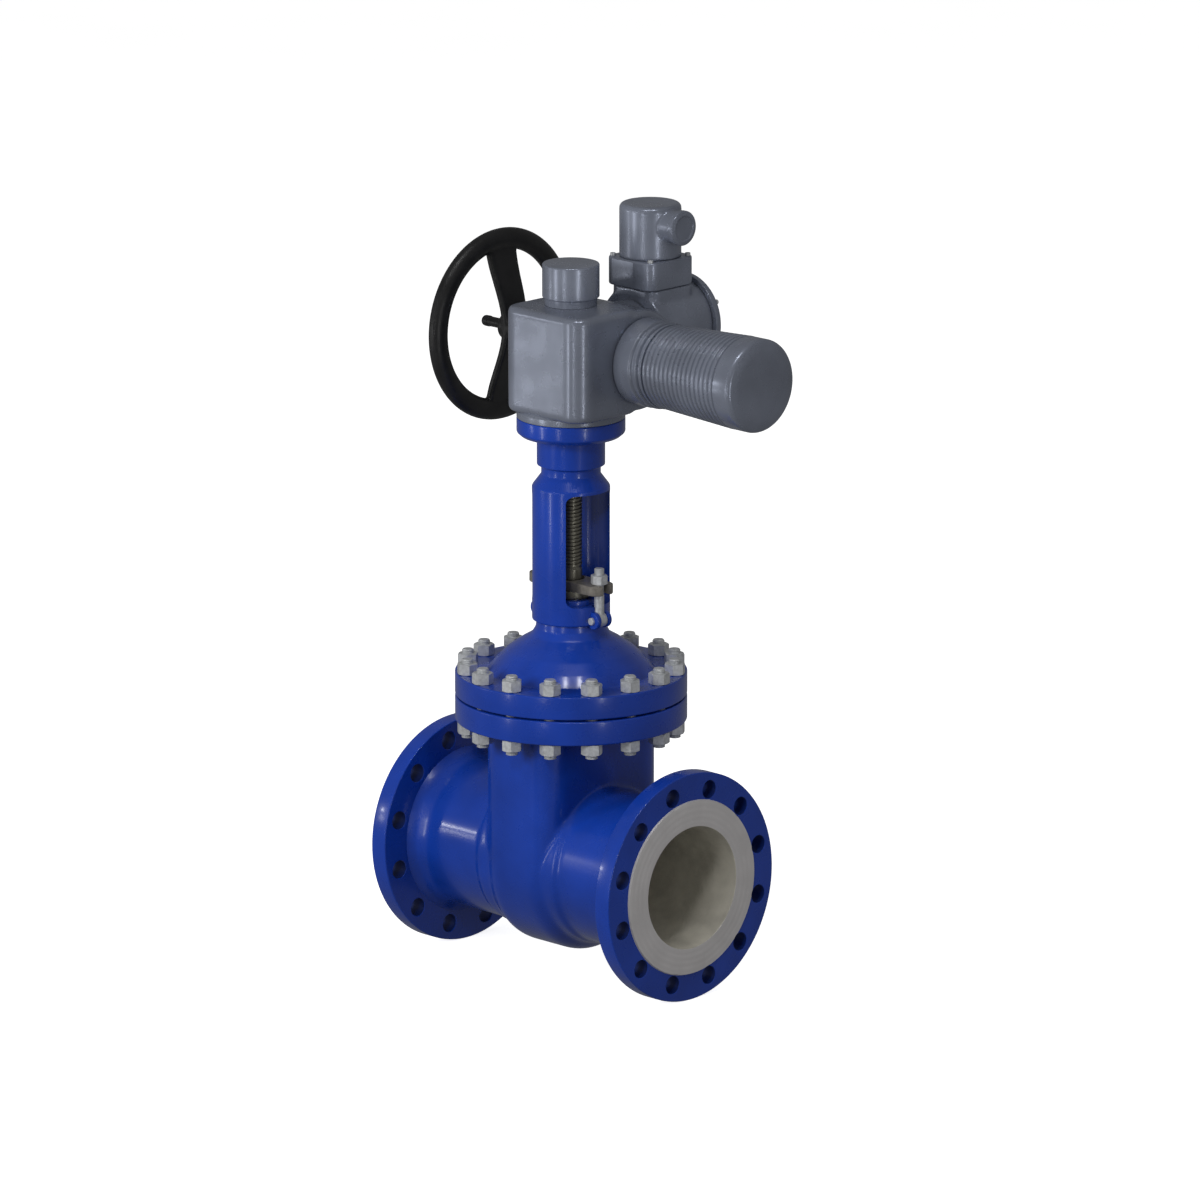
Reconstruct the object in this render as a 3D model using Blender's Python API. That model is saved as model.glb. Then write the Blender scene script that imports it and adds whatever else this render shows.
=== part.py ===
"""Motor-operated wedge gate valve, DN 200 PN 40, with a multi-turn electric actuator.

The dimensions are read from where the flow axis, X, crosses the stem axis, Z.
The drive sleeve turns about Z. The worm, motor and handwheel share one axis along X.
The last step moves the origin to the middle of the base of the whole valve's box.
Everything is at rest with the valve closed. Lengths are in metres.
"""

from math import cos, pi, radians, sin, tan

import bmesh
import bpy
from mathutils import Matrix, Vector

MM = 0.001
GAP = 0.3 * MM

# Valve body and its pipe flanges
HALF_LENGTH = 275 * MM
FLANGE_R = 187.5 * MM
FLANGE_THICK = 34 * MM
RAISED_R = 142.5 * MM
RAISED_HEIGHT = 3 * MM
BORE_R = 100 * MM
PIPE_BOLT_COUNT = 12
PIPE_BOLT_CIRCLE_R = 160 * MM
PIPE_BOLT_HOLE_R = 15 * MM
NECK_R = 127 * MM
CHAMBER_HALF_X = 80 * MM
CHAMBER_HALF_Y = 135 * MM
CHAMBER_CORNER = 48 * MM
CHAMBER_BOTTOM = 147 * MM
WALL = 17 * MM
BODY_FLANGE_Z = (232 * MM, 271.5 * MM)

# Wedge and seats
WEDGE_R = 108 * MM
WEDGE_HALF_THICK = 24 * MM
WEDGE_ANGLE = radians(5)
SEAT_R = 112 * MM
SEAT_DEPTH = 10 * MM
WEDGE_BOSS_R = 30 * MM
WEDGE_BOSS_TOP = 128 * MM

# Bonnet
BONNET_FLANGE_Z = (274.5 * MM, 312 * MM)
BONNET_STUD_COUNT = 16
BONNET_STUD_CIRCLE_R = 170 * MM
STUD_R = 10 * MM
STUD_HOLE_R = STUD_R + 2.2 * MM
NUT_R = 17.3 * MM
NUT_HEIGHT = 18 * MM
STUD_END = 7 * MM
NECK_TOP = 396 * MM
BOX_TOP = 434 * MM
BOX_R = 28.5 * MM
SPIGOT_R = 44 * MM

# Stem and gland
STEM_R = 18 * MM
STEM_TOP = 766 * MM
STEM_CLEAR_R = 18.4 * MM
GLAND_FLANGE_Z = (448.3 * MM, 464 * MM)
EYE_BOLT_X = 64 * MM
EYE_BOLT_R = 8 * MM
GLAND_NUT_R = 13.8 * MM
EYE_PIN_Z = 405 * MM
EYE_R = 12 * MM
PIN_R = 6 * MM

# Yoke
YOKE_R = 63 * MM
YOKE_INNER_R = 52 * MM
YOKE_BASE_Z = (NECK_TOP + GAP, 427 * MM)
WINDOW_HALF_Y = 50 * MM
WINDOW_TOP = 612 * MM
YOKE_FLANGE_R = 87.5 * MM
YOKE_TOP = 730 * MM

# Gearbox: worm and wheel
MODULE = 3.5 * MM
WHEEL_TEETH = 24
WHEEL_PITCH_R = MODULE * WHEEL_TEETH / 2
WORM_PITCH_R = 18 * MM
WORM_Y = WHEEL_PITCH_R + WORM_PITCH_R
WORM_Z = 828 * MM
WORM_PITCH = pi * MODULE
TOOTH_SLACK = 0.9 * MM
WHEEL_HALF_WIDTH = 7 * MM
WORM_TURNS = 3
GEARBOX_X = (-75 * MM, 102 * MM)
GEARBOX_Y = (-85 * MM, 112 * MM)
GEARBOX_Z = (742 * MM, 914 * MM)
GEARBOX_FLANGE_R = 87.5 * MM
SLEEVE_INNER_R = 26.3 * MM
SLEEVE_R = 33 * MM
BEARING_R = 45 * MM
WORM_SHAFT_R = 12 * MM
WORM_BORE_R = 25 * MM
CAP_TOP = 981 * MM

# Motor
ADAPTER_X = (GEARBOX_X[1] + GAP, 165 * MM)
ADAPTER_R = 71 * MM
MOTOR_X = (ADAPTER_X[1] + GAP, 330 * MM)
FIN_ROOT_R = 63.5 * MM
FIN_HEIGHT = 5 * MM
FIN_TAPER = 0.8 * MM
FIN_COUNT = 8
MOTOR_INNER_R = 60 * MM
MOTOR_CAP_R = 75.5 * MM
MOTOR_END = 374 * MM

# Handwheel
RIM_R = 142 * MM
RIM_HALF_WIDTH = 16 * MM
RIM_HALF_DEPTH = 14 * MM
RIM_X = -222 * MM
HUB_X = (-208 * MM, -170 * MM)
HUB_R = 24 * MM
HAND_SHAFT_R = 11 * MM
HAND_Z = 838 * MM
BUTTON_R = 9 * MM
BUTTON_TIP = -259 * MM

# Switch housing and plug connector
SWITCH_X = 25 * MM
SWITCH_Z = 857 * MM
SWITCH_Y = (GEARBOX_Y[1] + GAP, 229 * MM)
SWITCH_R = 70 * MM
SWITCH_COVER_DEPTH = 18 * MM
PLUG_Y = 155 * MM
SOCKET_Z = (928 * MM, 974 * MM)
PLUG_R = 50 * MM
PLUG_TOP = 1061 * MM
GLAND_BOSS_Z = 1029 * MM
GLAND_BOSS_X = 103 * MM

AXIS_TURNS = {
    "Z": (0, 0, 0),
    "X": (0, pi / 2, 0),
    "-X": (0, -pi / 2, 0),
    "Y": (-pi / 2, 0, 0),
}


def clear_scene():
    for obj in list(bpy.data.objects):
        bpy.data.objects.remove(obj, do_unlink=True)


def material(name, colour, roughness, metallic):
    made = bpy.data.materials.new(name)
    made.use_nodes = True
    shader = made.node_tree.nodes["Principled BSDF"]
    shader.inputs["Base Color"].default_value = (*colour, 1)
    shader.inputs["Roughness"].default_value = roughness
    shader.inputs["Metallic"].default_value = metallic
    return made


def make_materials():
    return {
        "blue": material("blue_paint", (0.02, 0.07, 0.42), 0.35, 0.0),
        "grey": material("grey_paint", (0.19, 0.21, 0.25), 0.45, 0.2),
        "black": material("black_plastic", (0.01, 0.01, 0.01), 0.4, 0.0),
        "steel": material("bare_steel", (0.45, 0.45, 0.43), 0.35, 1.0),
        "zinc": material("zinc_plated", (0.5, 0.5, 0.47), 0.4, 1.0),
        "bronze": material("bronze", (0.55, 0.36, 0.16), 0.35, 1.0),
        "graphite": material("graphite", (0.05, 0.05, 0.05), 0.8, 0.0),
        "copper": material("winding", (0.5, 0.22, 0.1), 0.5, 0.6),
        "resin": material("moulded_resin", (0.12, 0.12, 0.12), 0.6, 0.0),
    }


def place(name, bm, mat=None, at=(0, 0, 0), axis="Z", parent=None):
    """Makes a closed bmesh into a named object, with smooth round faces."""
    bmesh.ops.remove_doubles(bm, verts=bm.verts, dist=1e-6)
    bmesh.ops.dissolve_degenerate(bm, edges=bm.edges, dist=1e-7)
    bmesh.ops.recalc_face_normals(bm, faces=bm.faces)
    mesh = bpy.data.meshes.new(name)
    bm.to_mesh(mesh)
    bm.free()
    mesh.shade_smooth()
    mesh.set_sharp_from_angle(angle=radians(35))
    obj = bpy.data.objects.new(name, mesh)
    obj.location = at
    obj.rotation_euler = AXIS_TURNS[axis]
    if mat:
        mesh.materials.append(mat)
    if parent:
        obj.parent = parent
    bpy.context.scene.collection.objects.link(obj)
    return obj


def turned_bmesh(outline, segments):
    """Spins an outline of (radius, height) points about Z. It is a ring unless it touches the axis."""
    bm = bmesh.new()
    verts = [bm.verts.new((r, 0, z)) for r, z in outline]
    edges = [bm.edges.new(pair) for pair in zip(verts, verts[1:])]
    if min(r for r, _ in outline) > 0:
        edges.append(bm.edges.new((verts[-1], verts[0])))
    bmesh.ops.spin(
        bm, geom=verts + edges, cent=(0, 0, 0), axis=(0, 0, 1), angle=2 * pi, steps=segments, use_merge=True
    )
    return bm


def turned(name, outline, mat=None, segments=32, at=(0, 0, 0), axis="Z", parent=None):
    return place(name, turned_bmesh(outline, segments), mat, at, axis, parent)


def rod(radius, low, high):
    """Outline of a plain cylinder."""
    return [(0, low), (radius, low), (radius, high), (0, high)]


def tube(inner, outer, low, high):
    """Outline of a plain ring."""
    return [(inner, low), (outer, low), (outer, high), (inner, high)]


def box_bmesh(low, high):
    low, high = Vector(low), Vector(high)
    bm = bmesh.new()
    bmesh.ops.create_cube(bm, size=1)
    bmesh.ops.scale(bm, vec=high - low, verts=bm.verts)
    bmesh.ops.translate(bm, vec=(low + high) / 2, verts=bm.verts)
    return bm


def round_box_bmesh(low, high, corner, edge=0.0, steps=3):
    """A box whose upright edges have radius corner and whose top edges have radius edge."""
    bm = box_bmesh(low, high)
    upright = [e for e in bm.edges if abs(e.verts[0].co.z - e.verts[1].co.z) > 1e-6]
    bmesh.ops.bevel(bm, geom=upright, offset=corner, segments=steps, profile=0.5, affect="EDGES")
    if edge:
        top = max(v.co.z for v in bm.verts)
        rim = [e for e in bm.edges if all(v.co.z > top - 1e-6 for v in e.verts)]
        bmesh.ops.bevel(bm, geom=rim, offset=edge, segments=2, profile=0.5, affect="EDGES")
    return bm


def combine(target, tool, operation):
    """Cuts tool from target, or joins it to target, and hides the tool."""
    tool.hide_render = True
    tool.display_type = "WIRE"
    modifier = target.modifiers.new(f"{operation.lower()}_{tool.name}", "BOOLEAN")
    modifier.operation = operation
    modifier.solver = "EXACT"
    modifier.object = tool


def cut(target, *tools):
    for tool in tools:
        combine(target, tool, "DIFFERENCE")


def join(target, *tools):
    for tool in tools:
        combine(target, tool, "UNION")


def bolt_holes(name, circle_r, hole_r, count, low, high, axis="Z", start=0.5, segments=6):
    """One cutter of parallel round holes on a circle. start is the first hole's place in steps."""
    bm = bmesh.new()
    for k in range(count):
        angle = 2 * pi * (k + start) / count
        centre = (circle_r * cos(angle), circle_r * sin(angle), (low + high) / 2)
        bmesh.ops.create_cone(
            bm,
            cap_ends=True,
            segments=segments,
            radius1=hole_r,
            radius2=hole_r,
            depth=high - low,
            matrix=Matrix.Translation(centre),
        )
    return place(name, bm, axis=axis)


def prism_bmesh(outline, low, high):
    """A straight prism on a closed outline of (x, y) points."""
    bm = bmesh.new()
    face = bm.faces.new([bm.verts.new((x, y, low)) for x, y in outline])
    made = bmesh.ops.extrude_face_region(bm, geom=[face])
    raised = [v for v in made["geom"] if isinstance(v, bmesh.types.BMVert)]
    bmesh.ops.translate(bm, vec=(0, 0, high - low), verts=raised)
    return bm


def hexagon(radius, turn=0.0):
    return [(radius * cos(turn + k * pi / 3), radius * sin(turn + k * pi / 3)) for k in range(6)]


# ---------------------------------------------------------------- valve body


def chamber_bmesh(half_x, half_y, corner, bottom, top):
    """A flat-sided chamber: a rounded rectangle in plan, with a rounded bottom."""
    arc_steps = 3
    half = [(-half_x, 0)]
    for k in range(arc_steps + 1):
        a = pi - k * pi / 2 / arc_steps
        half.append((-half_x + corner + corner * cos(a), half_y - corner + corner * sin(a)))
    for k in range(arc_steps + 1):
        a = pi / 2 - k * pi / 2 / arc_steps
        half.append((half_x - corner + corner * cos(a), half_y - corner + corner * sin(a)))
    half.append((half_x, 0))
    bm = bmesh.new()
    verts = [bm.verts.new((x, y, 0)) for x, y in half]
    edges = [bm.edges.new(pair) for pair in zip(verts, verts[1:])]
    bmesh.ops.spin(bm, geom=verts + edges, cent=(0, 0, 0), axis=(1, 0, 0), angle=-pi, steps=10)
    bmesh.ops.remove_doubles(bm, verts=bm.verts, dist=1e-6)
    bmesh.ops.scale(bm, vec=(1, 1, bottom / half_y), verts=bm.verts)
    rim = [e for e in bm.edges if e.is_boundary]
    made = bmesh.ops.extrude_edge_only(bm, edges=rim)
    raised = [v for v in made["geom"] if isinstance(v, bmesh.types.BMVert)]
    bmesh.ops.translate(bm, vec=(0, 0, top), verts=raised)
    bmesh.ops.contextual_create(bm, geom=[e for e in made["geom"] if isinstance(e, bmesh.types.BMEdge)])
    return bm


def run_outline():
    """Half section of the straight run: raised faces, flanges, hubs and necks, along X."""
    back = HALF_LENGTH - FLANGE_THICK
    side = [
        (NECK_R, 0.0),
        (NECK_R, 214 * MM),
        (NECK_R + 4 * MM, 229 * MM),
        (NECK_R + 14 * MM, back),
        (FLANGE_R, back),
        (FLANGE_R, HALF_LENGTH - RAISED_HEIGHT),
        (RAISED_R, HALF_LENGTH - RAISED_HEIGHT),
        (RAISED_R, HALF_LENGTH),
        (0, HALF_LENGTH),
    ]
    return [(r, -x) for r, x in reversed(side[1:])] + side


def make_valve_body(mats):
    body = turned("valve_body", run_outline(), mats["blue"], segments=28, axis="X")
    chamber = chamber_bmesh(
        CHAMBER_HALF_X, CHAMBER_HALF_Y, CHAMBER_CORNER, CHAMBER_BOTTOM, BODY_FLANGE_Z[0] + 10 * MM
    )
    join(body, place("body_chamber", chamber))
    join(body, turned("body_flange", rod(FLANGE_R, *BODY_FLANGE_Z), segments=32))
    cavity = chamber_bmesh(
        CHAMBER_HALF_X - WALL,
        CHAMBER_HALF_Y - WALL,
        CHAMBER_CORNER - 14 * MM,
        CHAMBER_BOTTOM - WALL,
        BODY_FLANGE_Z[1] + 5 * MM,
    )
    cut(body, place("body_cavity", cavity))
    reach = HALF_LENGTH + 5 * MM
    cut(body, turned("body_bore", rod(BORE_R, -reach, reach), segments=24, axis="X"))
    seat_back = CHAMBER_HALF_X - WALL + SEAT_DEPTH
    cut(body, turned("seat_pockets", rod(SEAT_R + GAP, -seat_back, seat_back), segments=24, axis="X"))
    for side, direction in (("inlet", -1), ("outlet", 1)):
        ends = sorted((direction * (HALF_LENGTH - FLANGE_THICK - 10 * MM), direction * reach))
        name = f"{side}_holes"
        circle = (PIPE_BOLT_CIRCLE_R, PIPE_BOLT_HOLE_R, PIPE_BOLT_COUNT)
        cut(body, bolt_holes(name, *circle, *ends, axis="X", segments=8))
    cut(body, stud_holes("body_stud_holes", *BODY_FLANGE_Z))
    return body


def stud_holes(name, low, high):
    """The cutter of the holes for the bonnet studs, through a flange from low to high."""
    return bolt_holes(name, BONNET_STUD_CIRCLE_R, STUD_HOLE_R, BONNET_STUD_COUNT, low - 5 * MM, high + 5 * MM)


def wedge_face(z, clearance=0.0):
    """Distance of a sloping seat face from the stem axis at height z."""
    return WEDGE_HALF_THICK + clearance + z * tan(WEDGE_ANGLE)


def make_seat_ring(name, side, mats):
    back = CHAMBER_HALF_X - WALL + SEAT_DEPTH - GAP
    bm = turned_bmesh(tube(BORE_R + GAP, SEAT_R, 0.0, back), 24)
    bmesh.ops.rotate(bm, verts=bm.verts, matrix=Matrix.Rotation(pi / 2, 3, "Y"))
    for v in bm.verts:
        if v.co.x < back / 2:
            v.co.x = wedge_face(v.co.z, GAP)
    if side < 0:
        bmesh.ops.scale(bm, vec=(-1, 1, 1), verts=bm.verts)
    return place(name, bm, mats["steel"])


def make_wedge(mats, parent):
    bm = bmesh.new()
    bmesh.ops.create_cone(
        bm, cap_ends=True, segments=32, radius1=WEDGE_R, radius2=WEDGE_R, depth=1,
        matrix=Matrix.Rotation(pi / 2, 4, "Y"),
    )
    for v in bm.verts:
        v.co.x = wedge_face(v.co.z) * (1 if v.co.x > 0 else -1)
    wedge = place("wedge", bm, mats["steel"], parent=parent)
    join(wedge, turned("wedge_boss", rod(WEDGE_BOSS_R, 60 * MM, WEDGE_BOSS_TOP), segments=16))
    cut(wedge, turned("wedge_socket", rod(STEM_CLEAR_R, 96 * MM, WEDGE_BOSS_TOP + 5 * MM), segments=16))
    return wedge


# ---------------------------------------------------------------- bonnet and gland


def make_bonnet(mats):
    low, high = BONNET_FLANGE_Z
    outline = [
        (118 * MM, low),
        (FLANGE_R, low),
        (FLANGE_R, high),
        (134 * MM, high),
        (120 * MM, 331 * MM),
        (103 * MM, 347 * MM),
        (82 * MM, 362 * MM),
        (65 * MM, 373 * MM),
        (57 * MM, 383 * MM),
        (56 * MM, NECK_TOP),
        (SPIGOT_R, NECK_TOP),
        (SPIGOT_R, BOX_TOP),
        (BOX_R, BOX_TOP),
        (BOX_R, 385 * MM),
        (STEM_CLEAR_R + 0.6 * MM, 385 * MM),
        (STEM_CLEAR_R + 0.6 * MM, 372 * MM),
        (26.3 * MM, 372 * MM),
        (26.3 * MM, 350 * MM),
        (62 * MM, 345 * MM),
        (84 * MM, 331 * MM),
        (108 * MM, 309 * MM),
    ]
    bonnet = turned("bonnet", outline, mats["blue"], segments=32)
    cut(bonnet, stud_holes("bonnet_stud_holes", low, high))
    return bonnet


def stud_bmesh():
    """A stud with a nut at each end, standing on the origin, as one solid."""
    under = BODY_FLANGE_Z[0] - GAP
    over = BONNET_FLANGE_Z[1] + GAP
    sections = [
        (STUD_R, under - NUT_HEIGHT - STUD_END, under - NUT_HEIGHT),
        (NUT_R, under - NUT_HEIGHT, under),
        (STUD_R, under, over),
        (NUT_R, over, over + NUT_HEIGHT),
        (STUD_R, over + NUT_HEIGHT, over + NUT_HEIGHT + STUD_END),
    ]
    bm = bmesh.new()
    ring = None
    sides = 6
    for radius, low, high in sections:
        for z in (low, high):
            verts = []
            for k in range(sides):
                angle = 2 * pi * k / sides
                verts.append(bm.verts.new((radius * cos(angle), radius * sin(angle), z)))
            if ring is None:
                bm.faces.new(verts[::-1])
            else:
                for k in range(sides):
                    bm.faces.new((ring[k - 1], ring[k], verts[k], verts[k - 1]))
            ring = verts
    bm.faces.new(ring)
    return bm


def make_bonnet_studs(mats):
    first = None
    for k in range(BONNET_STUD_COUNT):
        angle = 2 * pi * (k + 0.5) / BONNET_STUD_COUNT
        at = (BONNET_STUD_CIRCLE_R * cos(angle), BONNET_STUD_CIRCLE_R * sin(angle), 0)
        name = f"bonnet_stud_{k + 1:02d}"
        if first is None:
            first = place(name, stud_bmesh(), mats["zinc"])
            stud = first
        else:
            stud = bpy.data.objects.new(name, first.data)
            bpy.context.scene.collection.objects.link(stud)
        stud.location = at
        stud.rotation_euler = (0, 0, angle)


def make_gland(mats):
    """Packing, follower and the plate that presses it down."""
    turned("gland_packing", tube(STEM_CLEAR_R, BOX_R - GAP, 385.3 * MM, 426 * MM), mats["graphite"], 20)
    low, high = GLAND_FLANGE_Z
    follower = [
        (STEM_CLEAR_R, 426.3 * MM),
        (BOX_R - GAP, 426.3 * MM),
        (BOX_R - GAP, 436 * MM),
        (34 * MM, 436 * MM),
        (34 * MM, low - GAP),
        (STEM_CLEAR_R, low - GAP),
    ]
    turned("gland_follower", follower, mats["steel"], 20)
    end, half_width = 82 * MM, 24 * MM
    bar = round_box_bmesh((-end, -half_width, low), (end, half_width, high), 18 * MM)
    plate = place("gland_flange", bar, mats["zinc"])
    cut(plate, turned("gland_hole", rod(22 * MM, low - 5 * MM, high + 5 * MM), segments=24))
    for side in (-1, 1):
        inner = side * EYE_BOLT_X
        outer = side * (end + 5 * MM)
        slot = box_bmesh(
            (min(inner, outer), -EYE_BOLT_R - 1 * MM, low - 5 * MM),
            (max(inner, outer), EYE_BOLT_R + 1 * MM, high + 5 * MM),
        )
        cut(plate, place(f"gland_slot_{side}", slot))
        slot_end = turned(
            f"gland_slot_end_{side}",
            rod(EYE_BOLT_R + 1 * MM, low - 5 * MM, high + 5 * MM),
            segments=16,
            at=(inner, 0, 0),
        )
        cut(plate, slot_end)


def make_eye_bolt(label, side, mats):
    """A swing bolt: an eye on its pin in the yoke's lug, a shank through the gland plate, and a nut."""
    x = side * EYE_BOLT_X
    top = GLAND_FLANGE_Z[1]
    pin_at = (x, 0, EYE_PIN_Z)
    shank = rod(EYE_BOLT_R, EYE_PIN_Z + 8 * MM, top + 26 * MM)
    bolt = turned(f"eye_bolt_{label}", shank, mats["zinc"], 16, at=(x, 0, 0))
    join(bolt, turned(f"eye_{label}", rod(EYE_R, -8 * MM, 8 * MM), segments=20, at=pin_at, axis="Y"))
    hole = rod(PIN_R + GAP, -12 * MM, 12 * MM)
    cut(bolt, turned(f"eye_hole_{label}", hole, segments=16, at=pin_at, axis="Y"))
    turned(f"eye_pin_{label}", rod(PIN_R, -20 * MM, 20 * MM), mats["zinc"], 16, at=pin_at, axis="Y")
    low = top + GAP
    hexagonal = prism_bmesh(hexagon(GLAND_NUT_R), low, low + 15 * MM)
    nut = place(f"gland_nut_{label}", hexagonal, mats["zinc"], at=(x, 0, 0))
    thread = rod(EYE_BOLT_R + GAP, low - 5 * MM, low + 20 * MM)
    cut(nut, turned(f"gland_nut_hole_{label}", thread, segments=16, at=(x, 0, 0)))


# ---------------------------------------------------------------- yoke


def make_yoke(mats):
    """A tubular yoke with a window on each side of the stem and lugs for the swing bolts."""
    base_low, base_high = YOKE_BASE_Z
    outline = [
        (SPIGOT_R + 0.4 * MM, base_low),
        (YOKE_R, base_low),
        (YOKE_R, 619 * MM),
        (48 * MM, 638 * MM),
        (48 * MM, 650 * MM),
        (55 * MM, 652 * MM),
        (55 * MM, 699 * MM),
        (79 * MM, 700 * MM),
        (YOKE_FLANGE_R, 708 * MM),
        (YOKE_FLANGE_R, YOKE_TOP),
        (38 * MM, YOKE_TOP),
        (38 * MM, 690 * MM),
        (24 * MM, 690 * MM),
        (24 * MM, 622 * MM),
        (34 * MM, 615 * MM),
        (YOKE_INNER_R, 600 * MM),
        (YOKE_INNER_R, base_high),
        (SPIGOT_R + 0.4 * MM, base_high),
    ]
    yoke = turned("yoke", outline, mats["blue"], segments=24)
    window = box_bmesh((-90 * MM, -WINDOW_HALF_Y, base_high), (90 * MM, WINDOW_HALF_Y, WINDOW_TOP))
    cut(yoke, place("yoke_window", window))
    lug_half, slot_half = 16 * MM, 8.6 * MM
    for side in (-1, 1):
        lug = prism_bmesh(
            [
                (48 * MM, base_low + 0.4 * MM),
                (59 * MM, base_low + 0.4 * MM),
                (61 * MM, EYE_PIN_Z - 13 * MM),
                (73 * MM, EYE_PIN_Z - 13 * MM),
                (82 * MM, EYE_PIN_Z - 5 * MM),
                (82 * MM, EYE_PIN_Z + 6 * MM),
                (74 * MM, EYE_PIN_Z + 14 * MM),
                (48 * MM, EYE_PIN_Z + 14 * MM),
            ],
            -lug_half,
            lug_half,
        )
        bmesh.ops.rotate(lug, verts=lug.verts, matrix=Matrix.Rotation(pi / 2, 3, "X"))
        bmesh.ops.scale(lug, vec=(side, 1, 1), verts=lug.verts)
        join(yoke, place(f"yoke_lug_{side}", lug))
    for side in (-1, 1):
        inner, outer = side * (SPIGOT_R + 8 * MM), side * 95 * MM
        slot = box_bmesh(
            (min(inner, outer), -slot_half, base_low - 25 * MM),
            (max(inner, outer), slot_half, base_high + 5 * MM),
        )
        cut(yoke, place(f"lug_slot_{side}", slot))
        hole = turned(
            f"lug_hole_{side}",
            rod(PIN_R + GAP, -25 * MM, 25 * MM),
            segments=16,
            at=(side * EYE_BOLT_X, 0, EYE_PIN_Z),
            axis="Y",
        )
        cut(yoke, hole)
    return yoke


# ---------------------------------------------------------------- gearbox


def make_gearbox_housing(mats):
    low, high = (Vector((GEARBOX_X[i], GEARBOX_Y[i], GEARBOX_Z[i])) for i in (0, 1))
    housing = place("gearbox_housing", round_box_bmesh(low, high, 30 * MM, 10 * MM), mats["grey"])
    bottom = YOKE_TOP + GAP
    flange = rod(GEARBOX_FLANGE_R, bottom, GEARBOX_Z[0] + 12 * MM)
    join(housing, turned("gearbox_flange", flange, segments=32))
    hollow = [
        (0, bottom - 5 * MM),
        (40 * MM, bottom - 5 * MM),
        (40 * MM, 748 * MM),
        (BEARING_R + GAP, 748 * MM),
        (BEARING_R + GAP, 764 * MM),
        (56 * MM, 764 * MM),
        (56 * MM, 893 * MM),
        (BEARING_R + GAP, 893 * MM),
        (BEARING_R + GAP, 909 * MM),
        (SLEEVE_R + 2 * MM, 909 * MM),
        (SLEEVE_R + 2 * MM, GEARBOX_Z[1] + 5 * MM),
        (0, GEARBOX_Z[1] + 5 * MM),
    ]
    cut(housing, turned("wheel_cavity", hollow, segments=24))
    worm_bore = turned(
        "worm_bore",
        rod(WORM_BORE_R, GEARBOX_X[0] - 5 * MM, GEARBOX_X[1] + 5 * MM),
        segments=20,
        at=(0, WORM_Y, WORM_Z),
        axis="X",
    )
    wire_way = turned(
        "wire_way",
        rod(14 * MM, WORM_Y, SWITCH_Y[0] + 5 * MM),
        segments=20,
        at=(SWITCH_X, 0, SWITCH_Z),
        axis="Y",
    )
    cut(housing, worm_bore, wire_way)
    return housing


def wheel_outline():
    """Outline of the wheel's teeth, with a gap between two teeth facing the worm at +Y."""
    addendum, dedendum = MODULE, 1.25 * MODULE
    half_pitch_tooth = (WORM_PITCH / 2 - TOOTH_SLACK) / 2
    slope = tan(radians(20))
    corners = (
        (WHEEL_PITCH_R - dedendum, half_pitch_tooth + dedendum * slope),
        (WHEEL_PITCH_R + addendum, half_pitch_tooth - addendum * slope * 1.15),
    )
    points = []
    for k in range(WHEEL_TEETH):
        middle = pi / 2 + 2 * pi * (k + 0.5) / WHEEL_TEETH
        root, tip = corners
        for (radius, half), flank in ((root, -1), (tip, -1), (tip, 1), (root, 1)):
            angle = middle + flank * half / radius
            points.append((radius * cos(angle), radius * sin(angle)))
    return points


def make_worm_wheel(mats, parent):
    """A bronze wheel. Its teeth lean by the worm's lead angle across the face."""
    bm = prism_bmesh(wheel_outline(), -WHEEL_HALF_WIDTH, WHEEL_HALF_WIDTH)
    lean = WORM_PITCH / (2 * pi * WORM_PITCH_R)
    for v in bm.verts:
        turn = v.co.z * lean / WHEEL_PITCH_R
        v.co = Matrix.Rotation(turn, 3, "Z") @ v.co
    bmesh.ops.translate(bm, vec=(0, 0, WORM_Z), verts=bm.verts)
    wheel = place("worm_wheel", bm, mats["bronze"], parent=parent)
    hole = rod(SLEEVE_R + GAP, WORM_Z - 20 * MM, WORM_Z + 20 * MM)
    cut(wheel, turned("wheel_hole", hole, segments=24))
    return wheel


def worm_thread_bmesh(steps_per_turn=10):
    """A right-hand thread about X. A crest faces the wheel, at -Y, where X is 0."""
    addendum, dedendum = MODULE, 1.2 * MODULE
    sink = 1.5 * MM
    half_tooth = (WORM_PITCH / 2 - TOOTH_SLACK) / 2
    slope = tan(radians(20))
    section = (
        (WORM_PITCH_R - dedendum - sink, -half_tooth - dedendum * slope),
        (WORM_PITCH_R + addendum, -half_tooth + addendum * slope),
        (WORM_PITCH_R + addendum, half_tooth - addendum * slope),
        (WORM_PITCH_R - dedendum - sink, half_tooth + dedendum * slope),
    )
    bm = bmesh.new()
    rings = []
    steps = WORM_TURNS * steps_per_turn
    for k in range(steps + 1):
        turns = k / steps_per_turn - WORM_TURNS / 2
        angle = pi + 2 * pi * turns
        ring = []
        for radius, shift in section:
            x = WORM_PITCH * turns + shift
            ring.append(bm.verts.new((x, radius * cos(angle), radius * sin(angle))))
        rings.append(ring)
    for a, b in zip(rings, rings[1:]):
        for k in range(4):
            bm.faces.new((a[k], a[(k + 1) % 4], b[(k + 1) % 4], b[k]))
    bm.faces.new(rings[0])
    bm.faces.new(rings[-1])
    return bm


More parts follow.
